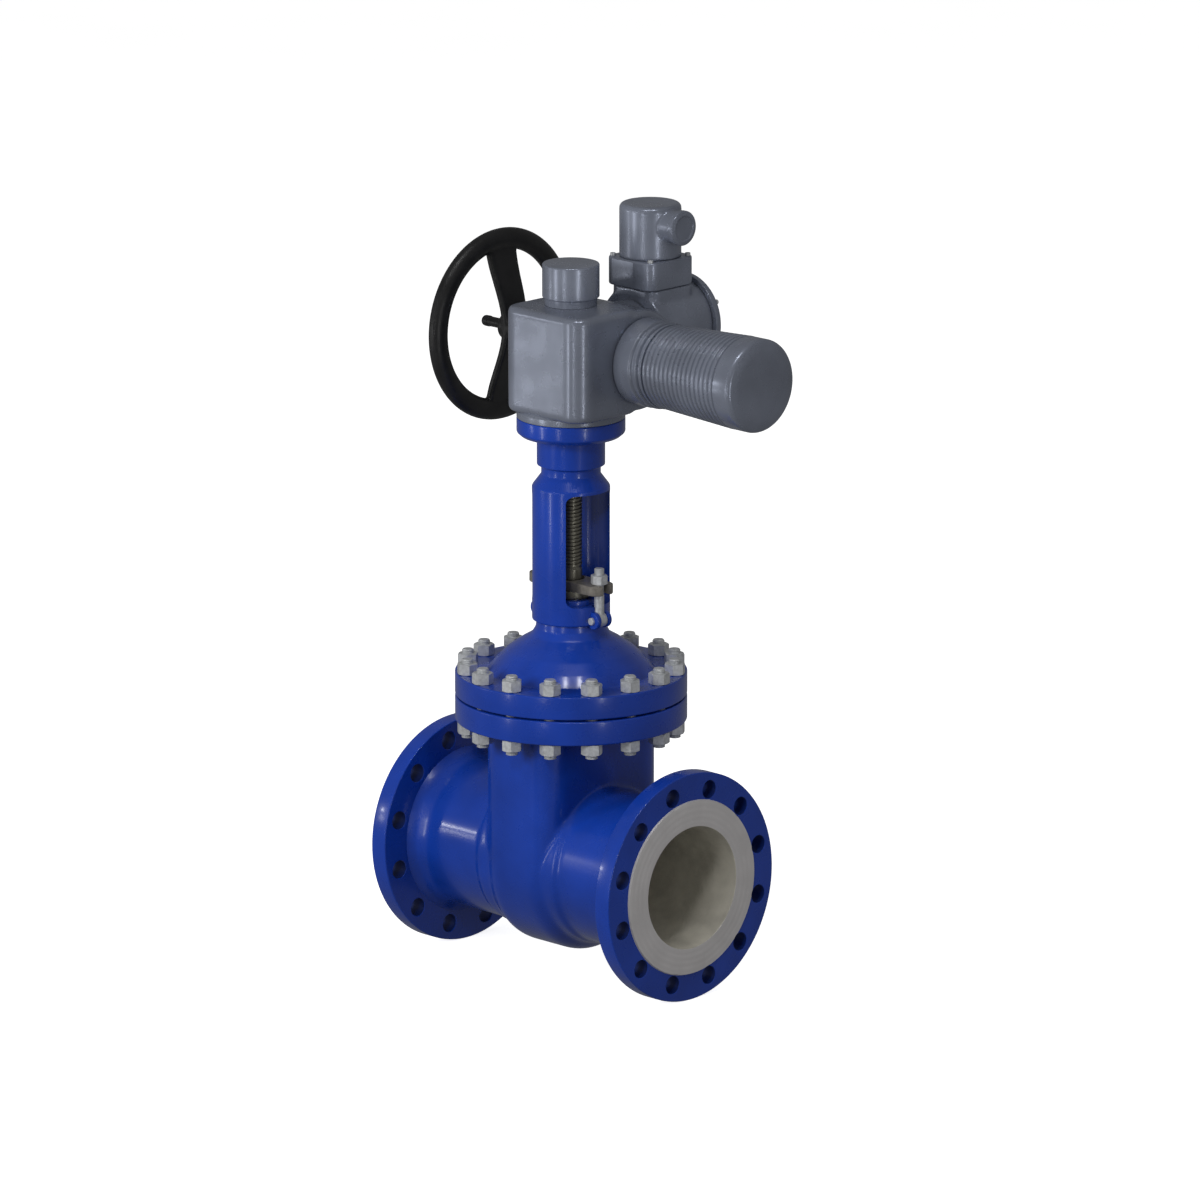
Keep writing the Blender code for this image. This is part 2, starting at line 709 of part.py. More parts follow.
def make_worm_shaft(mats, parent):
    root = WORM_PITCH_R - 1.2 * MODULE
    half_worm = WORM_PITCH * (WORM_TURNS / 2 + 0.6)
    outline = [
        (0, -72 * MM),
        (WORM_SHAFT_R, -72 * MM),
        (WORM_SHAFT_R, -half_worm),
        (root, -half_worm),
        (root, half_worm),
        (WORM_SHAFT_R, half_worm),
        (WORM_SHAFT_R, 100 * MM),
        (0, 100 * MM),
    ]
    shaft = turned("worm_shaft", outline, mats["steel"], segments=16, axis="X", parent=parent)
    join(shaft, place("worm_thread", worm_thread_bmesh(), parent=parent))
    return shaft


def make_drive(mats, parent):
    """The hollow output sleeve, the stem nut inside it and the worm wheel round it."""
    sleeve = tube(SLEEVE_INNER_R, SLEEVE_R, 696 * MM, 906 * MM)
    turned("drive_sleeve", sleeve, mats["steel"], 20, parent=parent)
    nut = [
        (STEM_CLEAR_R, 692 * MM),
        (32 * MM, 692 * MM),
        (32 * MM, 696 * MM - GAP),
        (SLEEVE_INNER_R - GAP, 696 * MM - GAP),
        (SLEEVE_INNER_R - GAP, 760 * MM),
        (STEM_CLEAR_R, 760 * MM),
    ]
    turned("stem_nut", nut, mats["bronze"], 20, parent=parent)
    make_worm_wheel(mats, parent)


def make_bearings(mats):
    for label, low in (("lower", 748.3 * MM), ("upper", 893.3 * MM)):
        ring = tube(SLEEVE_R + GAP, BEARING_R, low, low + 15.4 * MM)
        turned(f"sleeve_bearing_{label}", ring, mats["steel"], 24)
    for label, low in (("handwheel_side", -71 * MM), ("motor_side", 80 * MM)):
        ring = tube(WORM_SHAFT_R + GAP, WORM_BORE_R - GAP, low, low + 15 * MM)
        turned(f"worm_bearing_{label}", ring, mats["steel"], 20, at=(0, WORM_Y, WORM_Z), axis="X")


def make_stem_cover(mats):
    low = GEARBOX_Z[1] + GAP
    outline = [
        (38 * MM, low),
        (46 * MM, low),
        (46 * MM, CAP_TOP - 2 * MM),
        (44 * MM, CAP_TOP),
        (0, CAP_TOP),
        (0, CAP_TOP - 5 * MM),
        (38 * MM, CAP_TOP - 5 * MM),
    ]
    bm = turned_open(outline, 24)
    place("stem_cover", bm, mats["grey"])


def turned_open(outline, segments):
    """Spins a cup: its outline starts and ends off the axis and touches it in the middle."""
    bm = bmesh.new()
    verts = [bm.verts.new((r, 0, z)) for r, z in outline]
    edges = [bm.edges.new(pair) for pair in zip(verts, verts[1:])]
    edges.append(bm.edges.new((verts[-1], verts[0])))
    on_axis = [e for e in edges if all(abs(v.co.x) < 1e-9 for v in e.verts)]
    for e in on_axis:
        bm.edges.remove(e)
    geom = bm.verts[:] + bm.edges[:]
    bmesh.ops.spin(
        bm, geom=geom, cent=(0, 0, 0), axis=(0, 0, 1), angle=2 * pi, steps=segments, use_merge=True
    )
    return bm


# ---------------------------------------------------------------- motor


def make_motor(mats):
    centre = (0, WORM_Y, WORM_Z)
    low, high = ADAPTER_X
    adapter = [
        (30 * MM, low),
        (ADAPTER_R, low),
        (ADAPTER_R, high - 14 * MM),
        (ADAPTER_R - 3 * MM, high - 8 * MM),
        (ADAPTER_R - 3 * MM, high),
        (30 * MM, high),
    ]
    turned("motor_adapter", adapter, mats["grey"], 24, at=centre, axis="X")
    low, high = MOTOR_X
    pitch = (high - low) / FIN_COUNT
    shell = [(MOTOR_INNER_R, low)]
    for k in range(FIN_COUNT):
        start = low + k * pitch
        root = FIN_ROOT_R + k * FIN_TAPER
        shell += [(root, start), (root + FIN_HEIGHT, start + 0.6 * pitch)]
    shell += [(FIN_ROOT_R + FIN_COUNT * FIN_TAPER, high), (MOTOR_INNER_R, high)]
    turned("motor_housing", shell, mats["grey"], 20, at=centre, axis="X")
    winding = tube(36 * MM, 58.6 * MM, 195 * MM, 300 * MM)
    turned("motor_stator", winding, mats["copper"], 24, at=centre, axis="X")
    start = MOTOR_X[1] + GAP
    cap = [
        (MOTOR_INNER_R, start),
        (MOTOR_CAP_R, start),
        (MOTOR_CAP_R, MOTOR_END - 12 * MM),
        (MOTOR_CAP_R - 3 * MM, MOTOR_END - 6 * MM),
        (MOTOR_CAP_R - 10 * MM, MOTOR_END - 2.5 * MM),
        (0, MOTOR_END),
        (0, 354 * MM),
        (MOTOR_INNER_R, 350 * MM),
    ]
    place("motor_end_cap", turned_open(cap, 24), mats["grey"], at=centre, axis="X")


def make_motor_rotor(mats, parent):
    shaft_r, core_r = 10 * MM, 35 * MM
    outline = [
        (0, 100.3 * MM),
        (shaft_r + 6 * MM, 100.3 * MM),
        (shaft_r + 6 * MM, 125 * MM),
        (shaft_r, 125 * MM),
        (shaft_r, 198 * MM),
        (core_r, 198 * MM),
        (core_r, 297 * MM),
        (shaft_r, 297 * MM),
        (shaft_r, 345 * MM),
        (0, 345 * MM),
    ]
    turned("motor_rotor", outline, mats["steel"], 20, axis="X", parent=parent)


# ---------------------------------------------------------------- handwheel


def make_handwheel(mats, parent):
    """A two-arm wheel, its hub set in towards the gearbox from the plane of the rim."""
    bm = bmesh.new()
    sides = 6
    ring = []
    for k in range(sides):
        angle = 2 * pi * k / sides
        ring.append(bm.verts.new((RIM_R + RIM_HALF_WIDTH * cos(angle), 0, RIM_HALF_DEPTH * sin(angle))))
    edges = [bm.edges.new((ring[k - 1], ring[k])) for k in range(sides)]
    bmesh.ops.spin(
        bm, geom=ring + edges, cent=(0, 0, 0), axis=(0, 0, 1), angle=2 * pi, steps=32, use_merge=True
    )
    bmesh.ops.rotate(bm, verts=bm.verts, matrix=Matrix.Rotation(pi / 2, 3, "Y"))
    bmesh.ops.translate(bm, vec=(RIM_X, 0, 0), verts=bm.verts)
    wheel = place("handwheel", bm, mats["black"], parent=parent)
    join(wheel, place("handwheel_arms", arms_bmesh(), parent=parent))
    join(wheel, turned("handwheel_hub", rod(HUB_R, *HUB_X), segments=24, axis="X", parent=parent))
    seat = -184 * MM
    button_bore = rod(BUTTON_R + GAP, HUB_X[0] - 5 * MM, seat + 2 * MM)
    shaft_bore = rod(HAND_SHAFT_R + GAP, seat, HUB_X[1] + 5 * MM)
    for name, bore in (("hub_button_bore", button_bore), ("hub_shaft_bore", shaft_bore)):
        cut(wheel, turned(name, bore, segments=20, axis="X", parent=parent))
    return wheel


def arms_bmesh():
    """Both arms as one flat bar, bent in towards the gearbox at the hub."""
    half_rim, half_hub, thick = 31 * MM, 24 * MM, 16 * MM
    hub_middle = sum(HUB_X) / 2
    stations = (
        (-RIM_R, RIM_X, half_rim),
        (-20 * MM, hub_middle, half_hub),
        (20 * MM, hub_middle, half_hub),
        (RIM_R, RIM_X, half_rim),
    )
    bm = bmesh.new()
    ring = None
    for z, x, half in stations:
        near, far = x - thick / 2, x + thick / 2
        corners = ((near, -half), (far, -half), (far, half), (near, half))
        verts = [bm.verts.new((a, b, z)) for a, b in corners]
        if ring is None:
            bm.faces.new(verts)
        else:
            for k in range(4):
                bm.faces.new((ring[k - 1], ring[k], verts[k], verts[k - 1]))
        ring = verts
    bm.faces.new(ring)
    return bm


def make_handwheel_parts(mats, wheel_parent, button_parent):
    make_handwheel(mats, wheel_parent)
    shaft = rod(HAND_SHAFT_R, -183.6 * MM, -72.3 * MM)
    turned("handwheel_shaft", shaft, mats["steel"], 20, axis="X", parent=wheel_parent)
    button = [
        (0, BUTTON_TIP),
        (BUTTON_R - 2 * MM, BUTTON_TIP),
        (BUTTON_R, BUTTON_TIP + 2 * MM),
        (BUTTON_R, -193 * MM),
        (0, -193 * MM),
    ]
    turned("manual_button", button, mats["black"], 20, axis="X", parent=button_parent)
    cover = [
        (HAND_SHAFT_R + GAP, -158 * MM),
        (22 * MM, -158 * MM),
        (26 * MM, -150 * MM),
        (30 * MM, -100 * MM),
        (48 * MM, -92 * MM),
        (48 * MM, GEARBOX_X[0] - GAP),
        (HAND_SHAFT_R + GAP, GEARBOX_X[0] - GAP),
    ]
    turned("handwheel_side_cover", cover, mats["grey"], 24, at=(0, WORM_Y, HAND_Z), axis="X")


# ---------------------------------------------------------------- switches and plug


def make_switch_housing(mats):
    near, far = SWITCH_Y
    inner = SWITCH_R - 8 * MM
    outline = [
        (14 * MM, near),
        (SWITCH_R, near),
        (SWITCH_R, far),
        (inner, far),
        (inner, near + 8 * MM),
        (14 * MM, near + 8 * MM),
    ]
    housing = turned("switch_housing", outline, mats["grey"], 24, at=(SWITCH_X, 0, SWITCH_Z), axis="Y")
    half = 46 * MM
    boss = round_box_bmesh(
        (SWITCH_X - half, PLUG_Y - 38 * MM, SWITCH_Z + 45 * MM),
        (SWITCH_X + half, PLUG_Y + half, SOCKET_Z[0] - GAP),
        16 * MM,
    )
    join(housing, place("switch_boss", boss))
    room = rod(inner, near + 8 * MM, far + 5 * MM)
    cut(housing, turned("switch_room", room, segments=24, at=(SWITCH_X, 0, SWITCH_Z), axis="Y"))
    wire_way = rod(30 * MM, SWITCH_Z + 20 * MM, SOCKET_Z[0] + 5 * MM)
    cut(housing, turned("socket_way", wire_way, segments=20, at=(SWITCH_X, PLUG_Y, 0)))
    start = far + GAP
    cover = [
        (0, start + 9 * MM),
        (SWITCH_R - 8 * MM, start + 9 * MM),
        (SWITCH_R - 8 * MM, start),
        (79 * MM, start),
        (79 * MM, start + 10 * MM),
        (71 * MM, start + 17 * MM),
        (0, start + SWITCH_COVER_DEPTH),
    ]
    place("switch_cover", turned_open(cover, 24), mats["grey"], at=(SWITCH_X, 0, SWITCH_Z), axis="Y")
    block = box_bmesh(
        (SWITCH_X - 34 * MM, 135 * MM, SWITCH_Z - 36 * MM),
        (SWITCH_X + 34 * MM, 205 * MM, SWITCH_Z + 12 * MM),
    )
    place("limit_switch_block", block, mats["resin"])


def make_plug(mats):
    low, high = SOCKET_Z
    half = 53 * MM
    near_corner = (SWITCH_X - half, PLUG_Y - half, low)
    far_corner = (SWITCH_X + half, PLUG_Y + half, high)
    square = round_box_bmesh(near_corner, far_corner, 20 * MM, 3 * MM)
    frame = place("socket_frame", square, mats["grey"])
    hole = rod(34 * MM, low - 5 * MM, high + 5 * MM)
    cut(frame, turned("socket_hole", hole, segments=20, at=(SWITCH_X, PLUG_Y, 0)))
    insert = rod(33 * MM, low + 16 * MM, high + 14 * MM)
    turned("plug_insert", insert, mats["resin"], 20, at=(SWITCH_X, PLUG_Y, 0))
    start = high + GAP
    wall = 6 * MM
    shell = [
        (PLUG_R - wall, start),
        (PLUG_R, start),
        (PLUG_R, PLUG_TOP - 8 * MM),
        (PLUG_R - 3 * MM, PLUG_TOP - 2 * MM),
        (PLUG_R - 9 * MM, PLUG_TOP),
        (0, PLUG_TOP),
        (0, PLUG_TOP - wall),
        (PLUG_R - wall, PLUG_TOP - wall),
    ]
    cover = place("plug_cover", turned_open(shell, 24), mats["grey"], at=(SWITCH_X, PLUG_Y, 0))
    boss = turned(
        "plug_boss",
        rod(25 * MM, SWITCH_X + 20 * MM, GLAND_BOSS_X - 12 * MM),
        segments=20,
        at=(0, PLUG_Y, GLAND_BOSS_Z),
        axis="X",
    )
    join(cover, boss)
    # The room's cutter is a little larger than the shell's inside, so no two walls coincide.
    more = 0.6 * MM
    room_outline = rod(PLUG_R - wall + more, start - 5 * MM, PLUG_TOP - wall + more)
    room = turned("plug_room", room_outline, segments=24, at=(SWITCH_X, PLUG_Y, 0))
    way = turned(
        "gland_way",
        rod(16 * MM, SWITCH_X + 15 * MM, GLAND_BOSS_X + 5 * MM),
        segments=16,
        at=(0, PLUG_Y, GLAND_BOSS_Z),
        axis="X",
    )
    cut(cover, room, way)
    gland = [
        (0, GLAND_BOSS_X - 24 * MM),
        (15.5 * MM, GLAND_BOSS_X - 24 * MM),
        (15.5 * MM, GLAND_BOSS_X - 12 * MM + GAP),
        (28 * MM, GLAND_BOSS_X - 12 * MM + GAP),
        (28 * MM, GLAND_BOSS_X - 4 * MM),
        (23 * MM, GLAND_BOSS_X),
        (0, GLAND_BOSS_X),
    ]
    turned("cable_entry_plug", gland, mats["grey"], 20, at=(0, PLUG_Y, GLAND_BOSS_Z), axis="X")


# ---------------------------------------------------------------- assembly


def empty(name, at):
    made = bpy.data.objects.new(name, None)
    made.location = at
    bpy.context.scene.collection.objects.link(made)
    return made


def main():
    clear_scene()
    mats = make_materials()

    make_valve_body(mats)
    make_seat_ring("seat_ring_inlet", -1, mats)
    make_seat_ring("seat_ring_outlet", 1, mats)
    gasket = tube(122 * MM, 150 * MM, BODY_FLANGE_Z[1] + GAP, BONNET_FLANGE_Z[0] - GAP)
    turned("bonnet_gasket", gasket, mats["graphite"], 24)
    make_bonnet(mats)
    make_bonnet_studs(mats)
    turned("backseat_bush", tube(STEM_CLEAR_R, 26 * MM, 351 * MM, 371.7 * MM), mats["bronze"], 20)
    make_gland(mats)
    make_eye_bolt("inlet_side", -1, mats)
    make_eye_bolt("outlet_side", 1, mats)
    make_yoke(mats)

    stem_axis = empty("stem_axis", (0, 0, 0))
    stem = [
        (0, 96.4 * MM),
        (STEM_R, 96.4 * MM),
        (STEM_R, STEM_TOP - 3 * MM),
        (STEM_R - 3 * MM, STEM_TOP),
        (0, STEM_TOP),
    ]
    turned("stem", stem, mats["steel"], 20, parent=stem_axis)
    make_wedge(mats, stem_axis)

    make_gearbox_housing(mats)
    make_bearings(mats)
    make_stem_cover(mats)
    make_drive(mats, empty("drive_axis", (0, 0, 0)))
    worm_axis = empty("worm_axis", (0, WORM_Y, WORM_Z))
    make_worm_shaft(mats, worm_axis)
    make_motor_rotor(mats, worm_axis)
    make_motor(mats)
    handwheel_axis = empty("handwheel_axis", (0, WORM_Y, HAND_Z))
    button_axis = empty("button_axis", (0, WORM_Y, HAND_Z))
    make_handwheel_parts(mats, handwheel_axis, button_axis)
    make_switch_housing(mats)
    make_plug(mats)

    far_y = SWITCH_Y[1] + GAP + SWITCH_COVER_DEPTH
    base = empty("valve_base", ((HALF_LENGTH - MOTOR_END) / 2, (FLANGE_R - far_y) / 2, FLANGE_R))
    for obj in bpy.data.objects:
        if obj.parent is None and obj is not base:
            obj.parent = base


main()
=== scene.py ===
# %% [markdown]
# # A motorized gate valve, dressed piece by piece
# The valve is a painted steel casting with a bolted bonnet, a tubular yoke and a rising stem. A grey
# actuator on top of it turns the stem nut through a worm gear, by motor or by handwheel.
# The engineering model gives every part its true size and place. This lesson makes the surfaces
# that people see, around that fixed frame, and gives each one its finish.

# %% Load the fixed frame
from math import cos, pi, radians, sin, tan

import bmesh
import bpy
from mathutils import Matrix, Vector


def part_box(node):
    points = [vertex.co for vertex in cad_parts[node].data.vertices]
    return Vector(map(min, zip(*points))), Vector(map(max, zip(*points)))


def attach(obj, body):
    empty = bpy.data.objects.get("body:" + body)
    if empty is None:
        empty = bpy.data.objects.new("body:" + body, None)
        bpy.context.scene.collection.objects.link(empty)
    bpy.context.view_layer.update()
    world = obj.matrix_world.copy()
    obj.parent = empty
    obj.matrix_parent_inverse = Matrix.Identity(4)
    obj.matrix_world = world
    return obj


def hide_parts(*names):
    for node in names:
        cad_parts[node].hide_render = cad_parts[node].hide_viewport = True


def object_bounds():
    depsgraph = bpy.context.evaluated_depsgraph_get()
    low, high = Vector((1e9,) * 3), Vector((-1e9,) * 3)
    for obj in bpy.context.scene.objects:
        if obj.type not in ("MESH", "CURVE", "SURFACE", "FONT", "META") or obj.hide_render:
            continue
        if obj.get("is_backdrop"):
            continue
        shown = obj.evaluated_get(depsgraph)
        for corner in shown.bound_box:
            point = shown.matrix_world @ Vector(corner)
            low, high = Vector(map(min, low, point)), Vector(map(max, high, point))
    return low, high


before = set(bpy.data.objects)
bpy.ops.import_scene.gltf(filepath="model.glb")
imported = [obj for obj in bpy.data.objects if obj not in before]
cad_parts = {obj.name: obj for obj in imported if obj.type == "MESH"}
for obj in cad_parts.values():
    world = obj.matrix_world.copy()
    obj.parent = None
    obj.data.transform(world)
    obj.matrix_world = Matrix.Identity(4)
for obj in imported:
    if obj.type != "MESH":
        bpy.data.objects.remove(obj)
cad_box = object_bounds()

MM = 0.001
FLOW_HEIGHT = 187.5 * MM
stem_low, stem_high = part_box("stem")
ORIGIN = Vector(((stem_low.x + stem_high.x) / 2, (stem_low.y + stem_high.y) / 2, cad_box[0].z + FLOW_HEIGHT))
print("flow axis crosses the stem axis at", tuple(round(v, 4) for v in ORIGIN))

# %% [markdown]
# ## The view and the light
# A product picture of a valve is taken from far away with a long lens, so its upright edges stay parallel.
# Deep gloss paint is easily washed out by a big lamp that mirrors in it. So the broad lamps only light the
# paint and stay out of its reflections, as a polarising filter would do for them. Small lamps and three
# narrow strips are left to mirror. They leave crisp spots on dome and necks, and bright lines down rounded
# corners.
# The backdrop is lit on its own, which the world does here: it is white to look at and dim as a light.

# %% Camera
VIEW_AZIMUTH = radians(-45)
VIEW_ELEVATION = radians(14.1)
VIEW_DISTANCE = 16.1
LENS = 300
AIM = ORIGIN + Vector((31.9, 33.9, 425.9)) * MM


def looking_from(azimuth, elevation, distance):
    """A point at that distance from the aim, at an azimuth counted from +X and an elevation."""
    level = cos(elevation) * distance
    return AIM + Vector((level * cos(azimuth), level * sin(azimuth), sin(elevation) * distance))


camera_data = bpy.data.cameras.new("view")
camera_data.lens = LENS
camera_data.clip_end = 100
camera = bpy.data.objects.new("view", camera_data)
camera.location = looking_from(VIEW_AZIMUTH, VIEW_ELEVATION, VIEW_DISTANCE)
camera.rotation_euler = (AIM - camera.location).to_track_quat("-Z", "Y").to_euler()
bpy.context.scene.collection.objects.link(camera)
bpy.context.scene.camera = camera
print("camera stands", round((camera.location - AIM).length, 2), "m from the valve")


# %% Lamps and sky
def area_lamp(name, azimuth, elevation, distance, size, power, mirrored=True):
    """A lamp aimed at the valve. Angles are in degrees, sizes and distance in metres, power in watts."""
    data = bpy.data.lights.new(name, "AREA")
    data.energy = power
    data.shape = "RECTANGLE"
    data.size, data.size_y = size
    lamp = bpy.data.objects.new(name, data)
    lamp.location = looking_from(radians(azimuth), radians(elevation), distance)
    lamp.rotation_euler = (AIM - lamp.location).to_track_quat("-Z", "Y").to_euler()
    lamp.visible_glossy = mirrored
    bpy.context.scene.collection.objects.link(lamp)


area_lamp("broad_key", -98, 18, 4.0, (1.6, 1.6), 92, mirrored=False)
area_lamp("bore_key", -62, 34, 4.0, (0.5, 0.5), 26, mirrored=False)
area_lamp("broad_fill", 12, 14, 5.0, (2.0, 2.0), 27, mirrored=False)
area_lamp("broad_back", 140, 30, 5.0, (2.0, 2.0), 30, mirrored=False)
area_lamp("spot_left", -60, 65, 4.0, (0.17, 0.17), 11)
area_lamp("spot_right", -26, 65, 4.0, (0.17, 0.17), 11)
area_lamp("neck_spot", -136, 6, 4.2, (0.05, 0.05), 4)
area_lamp("left_panel", -135, -3, 2.6, (0.2, 0.16), 0.9)
STRIP_SIZE = (0.14, 1.3)
for azimuth, power in ((-108, 6.5), (-72, 3.5), (-16, 6.5)):
    area_lamp(f"strip_{-azimuth}", azimuth, 0, 3.2, STRIP_SIZE, power)


def studio_world(seen, as_light):
    made = bpy.data.worlds.new("studio")
    made.use_nodes = True
    nodes, links = made.node_tree.nodes, made.node_tree.links
    ray = nodes.new("ShaderNodeLightPath")
    level = nodes.new("ShaderNodeMapRange")
    level.inputs["To Min"].default_value = as_light
    level.inputs["To Max"].default_value = seen
    links.new(ray.outputs["Is Camera Ray"], level.inputs["Value"])
    nodes["Background"].inputs["Color"].default_value = (1, 1, 1, 1)
    links.new(level.outputs["Result"], nodes["Background"].inputs["Strength"])
    return made


bpy.context.scene.world = studio_world(seen=1.0, as_light=0.17)
bpy.context.scene.view_settings.view_transform = "Standard"

# %% [markdown]
# ## Finishes
# Every finish is a small node tree on object coordinates, so it needs no unwrapping and keeps its true
# scale in metres. A helper opens a material and returns what all of them use. Another one adds noise.
# Only the things that vary over a surface are linked: colour, roughness and bump.


# %% Opening a finish
def new_finish(name):
    made = bpy.data.materials.new(name)
    made.use_nodes = True
    nodes = made.node_tree.nodes
    shader = nodes["Principled BSDF"]
    place = nodes.new("ShaderNodeTexCoord")
    centre = nodes.new("ShaderNodeMapping")
    centre.inputs["Location"].default_value = -ORIGIN
    made.node_tree.links.new(place.outputs["Object"], centre.inputs["Vector"])
    return made, nodes, made.node_tree.links, shader, centre.outputs["Vector"]


def noise(nodes, links, where, scale, detail):
    """A noise of that many cells in a metre. Gives its grey output."""
    texture = nodes.new("ShaderNodeTexNoise")
    texture.inputs["Scale"].default_value = scale
    texture.inputs["Detail"].default_value = detail
    links.new(where, texture.inputs["Vector"])
    return texture.outputs["Fac"]


def spread(nodes, links, value, low, high):
    """Turns a noise, which mostly lies from 0.3 to 0.7, into numbers from low to high."""
    node = nodes.new("ShaderNodeMapRange")
    node.inputs["From Min"].default_value = 0.3
    node.inputs["From Max"].default_value = 0.7
    node.inputs["To Min"].default_value = low
    node.inputs["To Max"].default_value = high
    links.new(value, node.inputs["Value"])
    return node.outputs["Result"]


def blend_colours(nodes, links, share, first, second):
    """A colour between two, each a tuple or an output, by a share from 0 to 1 that a node gives."""
    node = nodes.new("ShaderNodeMix")
    node.data_type = "RGBA"
    links.new(share, node.inputs[0])
    for socket, colour in ((6, first), (7, second)):
        if isinstance(colour, tuple):
            node.inputs[socket].default_value = (*colour, 1)
        else:
            links.new(colour, node.inputs[socket])
    return node.outputs[2]


def bump(nodes, links, shader, height, depth, strength):
    """Adds a bump of that depth in metres, on top of any bump already there."""
    node = nodes.new("ShaderNodeBump")
    node.inputs["Distance"].default_value = depth
    node.inputs["Strength"].default_value = strength
    links.new(height, node.inputs["Height"])
    if shader.inputs["Normal"].is_linked:
        links.new(shader.inputs["Normal"].links[0].from_socket, node.inputs["Normal"])
    links.new(node.outputs["Normal"], shader.inputs["Normal"])


# %% [markdown]
# ### Paint over cast steel
# Shop paint on a casting is never flat. It has a fine orange peel of about two millimetres, broad soft
# waves from the sand mould, and patches that dried a little duller. Dust lies on what faces up.
# Blue and grey differ only in colour and gloss, so one function makes both.


# %% Paint
DUST_COLOUR = (0.32, 0.31, 0.30)
PEEL_DEPTH = 0.0002
WAVE_DEPTH = 0.0012


def paint(name, colour, gloss, coat, dust, peel, metallic):
    made, nodes, links, shader, where = new_finish(name)
    patches = noise(nodes, links, where, 9, 4)
    darker = tuple(c * 0.82 for c in colour)
    lighter = tuple(min(1, c * 1.14 + 0.002) for c in colour)
    tone = blend_colours(nodes, links, spread(nodes, links, patches, 0.0, 1.0), darker, lighter)
    facing = nodes.new("ShaderNodeNewGeometry")
    upward = nodes.new("ShaderNodeSeparateXYZ")
    links.new(facing.outputs["Normal"], upward.inputs["Vector"])
    settled = nodes.new("ShaderNodeMath")
    settled.operation = "MULTIPLY"
    settled.use_clamp = True
    links.new(upward.outputs["Z"], settled.inputs[0])
    links.new(spread(nodes, links, noise(nodes, links, where, 42, 5), 0.0, dust), settled.inputs[1])
    tone = blend_colours(nodes, links, settled.outputs["Value"], tone, DUST_COLOUR)
    links.new(tone, shader.inputs["Base Color"])
    dull = noise(nodes, links, where, 26, 5)
    links.new(spread(nodes, links, dull, gloss - 0.02, gloss + 0.04), shader.inputs["Roughness"])
    shader.inputs["Specular IOR Level"].default_value = 0.4
    shader.inputs["Metallic"].default_value = metallic
    shader.inputs["Coat Weight"].default_value = coat
    shader.inputs["Coat Roughness"].default_value = 0.14
    bump(nodes, links, shader, noise(nodes, links, where, 30, 2), WAVE_DEPTH, 0.12)
    bump(nodes, links, shader, noise(nodes, links, where, 420, 3), PEEL_DEPTH, peel)
    return made


blue_paint = paint("blue_shop_paint", (0.003, 0.036, 0.31), 0.27, 0.40, 0.015, 0.06, 0.0)
grey_paint = paint("grey_actuator_paint", (0.235, 0.258, 0.322), 0.27, 0.0, 0.02, 0.05, 0.55)
# Paint in the bolt holes is thin and rough, and its darker blue is painted shade inside the holes.
hole_paint_darkened_as_shade = paint("thin_paint_in_holes_darkened_as_shade", (0.002, 0.016, 0.13), 0.62, 0.0, 0.0, 0.1, 0.0)
print("paints:", blue_paint.name, grey_paint.name)

# %% [markdown]
# ### Machined faces and the bore
# A flange face is turned, which leaves fine grooves in circles round the pipe's axis. A ring pattern
# centred on that axis draws them. The bore is only rough turned, then dulled by oil, so it is
# browner and has broad soft bands.


# %% Turned faces
def turned_steel(name, colour, roughness, rings_axis, pitch, depth, mottle=0.25, metallic=0.8):
    """Steel with turning marks in circles about an axis, a pitch apart."""
    made, nodes, links, shader, where = new_finish(name)
    rings = nodes.new("ShaderNodeTexWave")
    rings.wave_type = "RINGS"
    rings.rings_direction = rings_axis
    rings.inputs["Scale"].default_value = 1 / (pitch * 20)
    rings.inputs["Distortion"].default_value = 0.4
    rings.inputs["Detail Scale"].default_value = 4
    links.new(where, rings.inputs["Vector"])
    stains = noise(nodes, links, where, 22, 6)
    darker = tuple(c * (1 - mottle) for c in colour)
    tone = blend_colours(nodes, links, spread(nodes, links, stains, 0.0, 1.0), darker, colour)
    groove = blend_colours(nodes, links, spread(nodes, links, rings.outputs["Fac"], 0.0, 0.35), tone, darker)
    links.new(groove, shader.inputs["Base Color"])
    wear = noise(nodes, links, where, 60, 4)
    links.new(spread(nodes, links, wear, roughness - 0.06, roughness + 0.08), shader.inputs["Roughness"])
    shader.inputs["Metallic"].default_value = metallic
    bump(nodes, links, shader, rings.outputs["Fac"], depth, 0.5)
    bump(nodes, links, shader, wear, 0.0002, 0.2)
    return made


flange_steel = turned_steel(
    "turned_flange_face", (0.66, 0.64, 0.64), 0.45, "X", 1.6 * MM, 0.3 * MM, mottle=0.12, metallic=0.35
)
bore_steel = turned_steel(
    "oiled_bore", (0.74, 0.71, 0.62), 0.36, "X", 5.0 * MM, 0.1 * MM, mottle=0.30, metallic=0.30
)
ground_steel = turned_steel("ground_steel", (0.46, 0.45, 0.42), 0.28, "X", 1.2 * MM, 0.05 * MM)
shaft_steel = turned_steel("turned_shaft", (0.24, 0.23, 0.19), 0.33, "Z", 1.5 * MM, 0.05 * MM)
bronze = turned_steel("turned_bronze", (0.52, 0.31, 0.12), 0.32, "Z", 1.0 * MM, 0.08 * MM)
print("metals:", [m.name for m in bpy.data.materials if "turned" in m.name or "steel" in m.name])

# %% [markdown]
# ### Zinc, plastic, graphite, winding and resin
# Zinc plating on fasteners is pale, with small dull patches. The handwheel is black moulded plastic
# with a fine grain. Graphite, copper wire and resin are hidden inside, yet each gets its own look,
# so that the valve can be opened up in a picture.


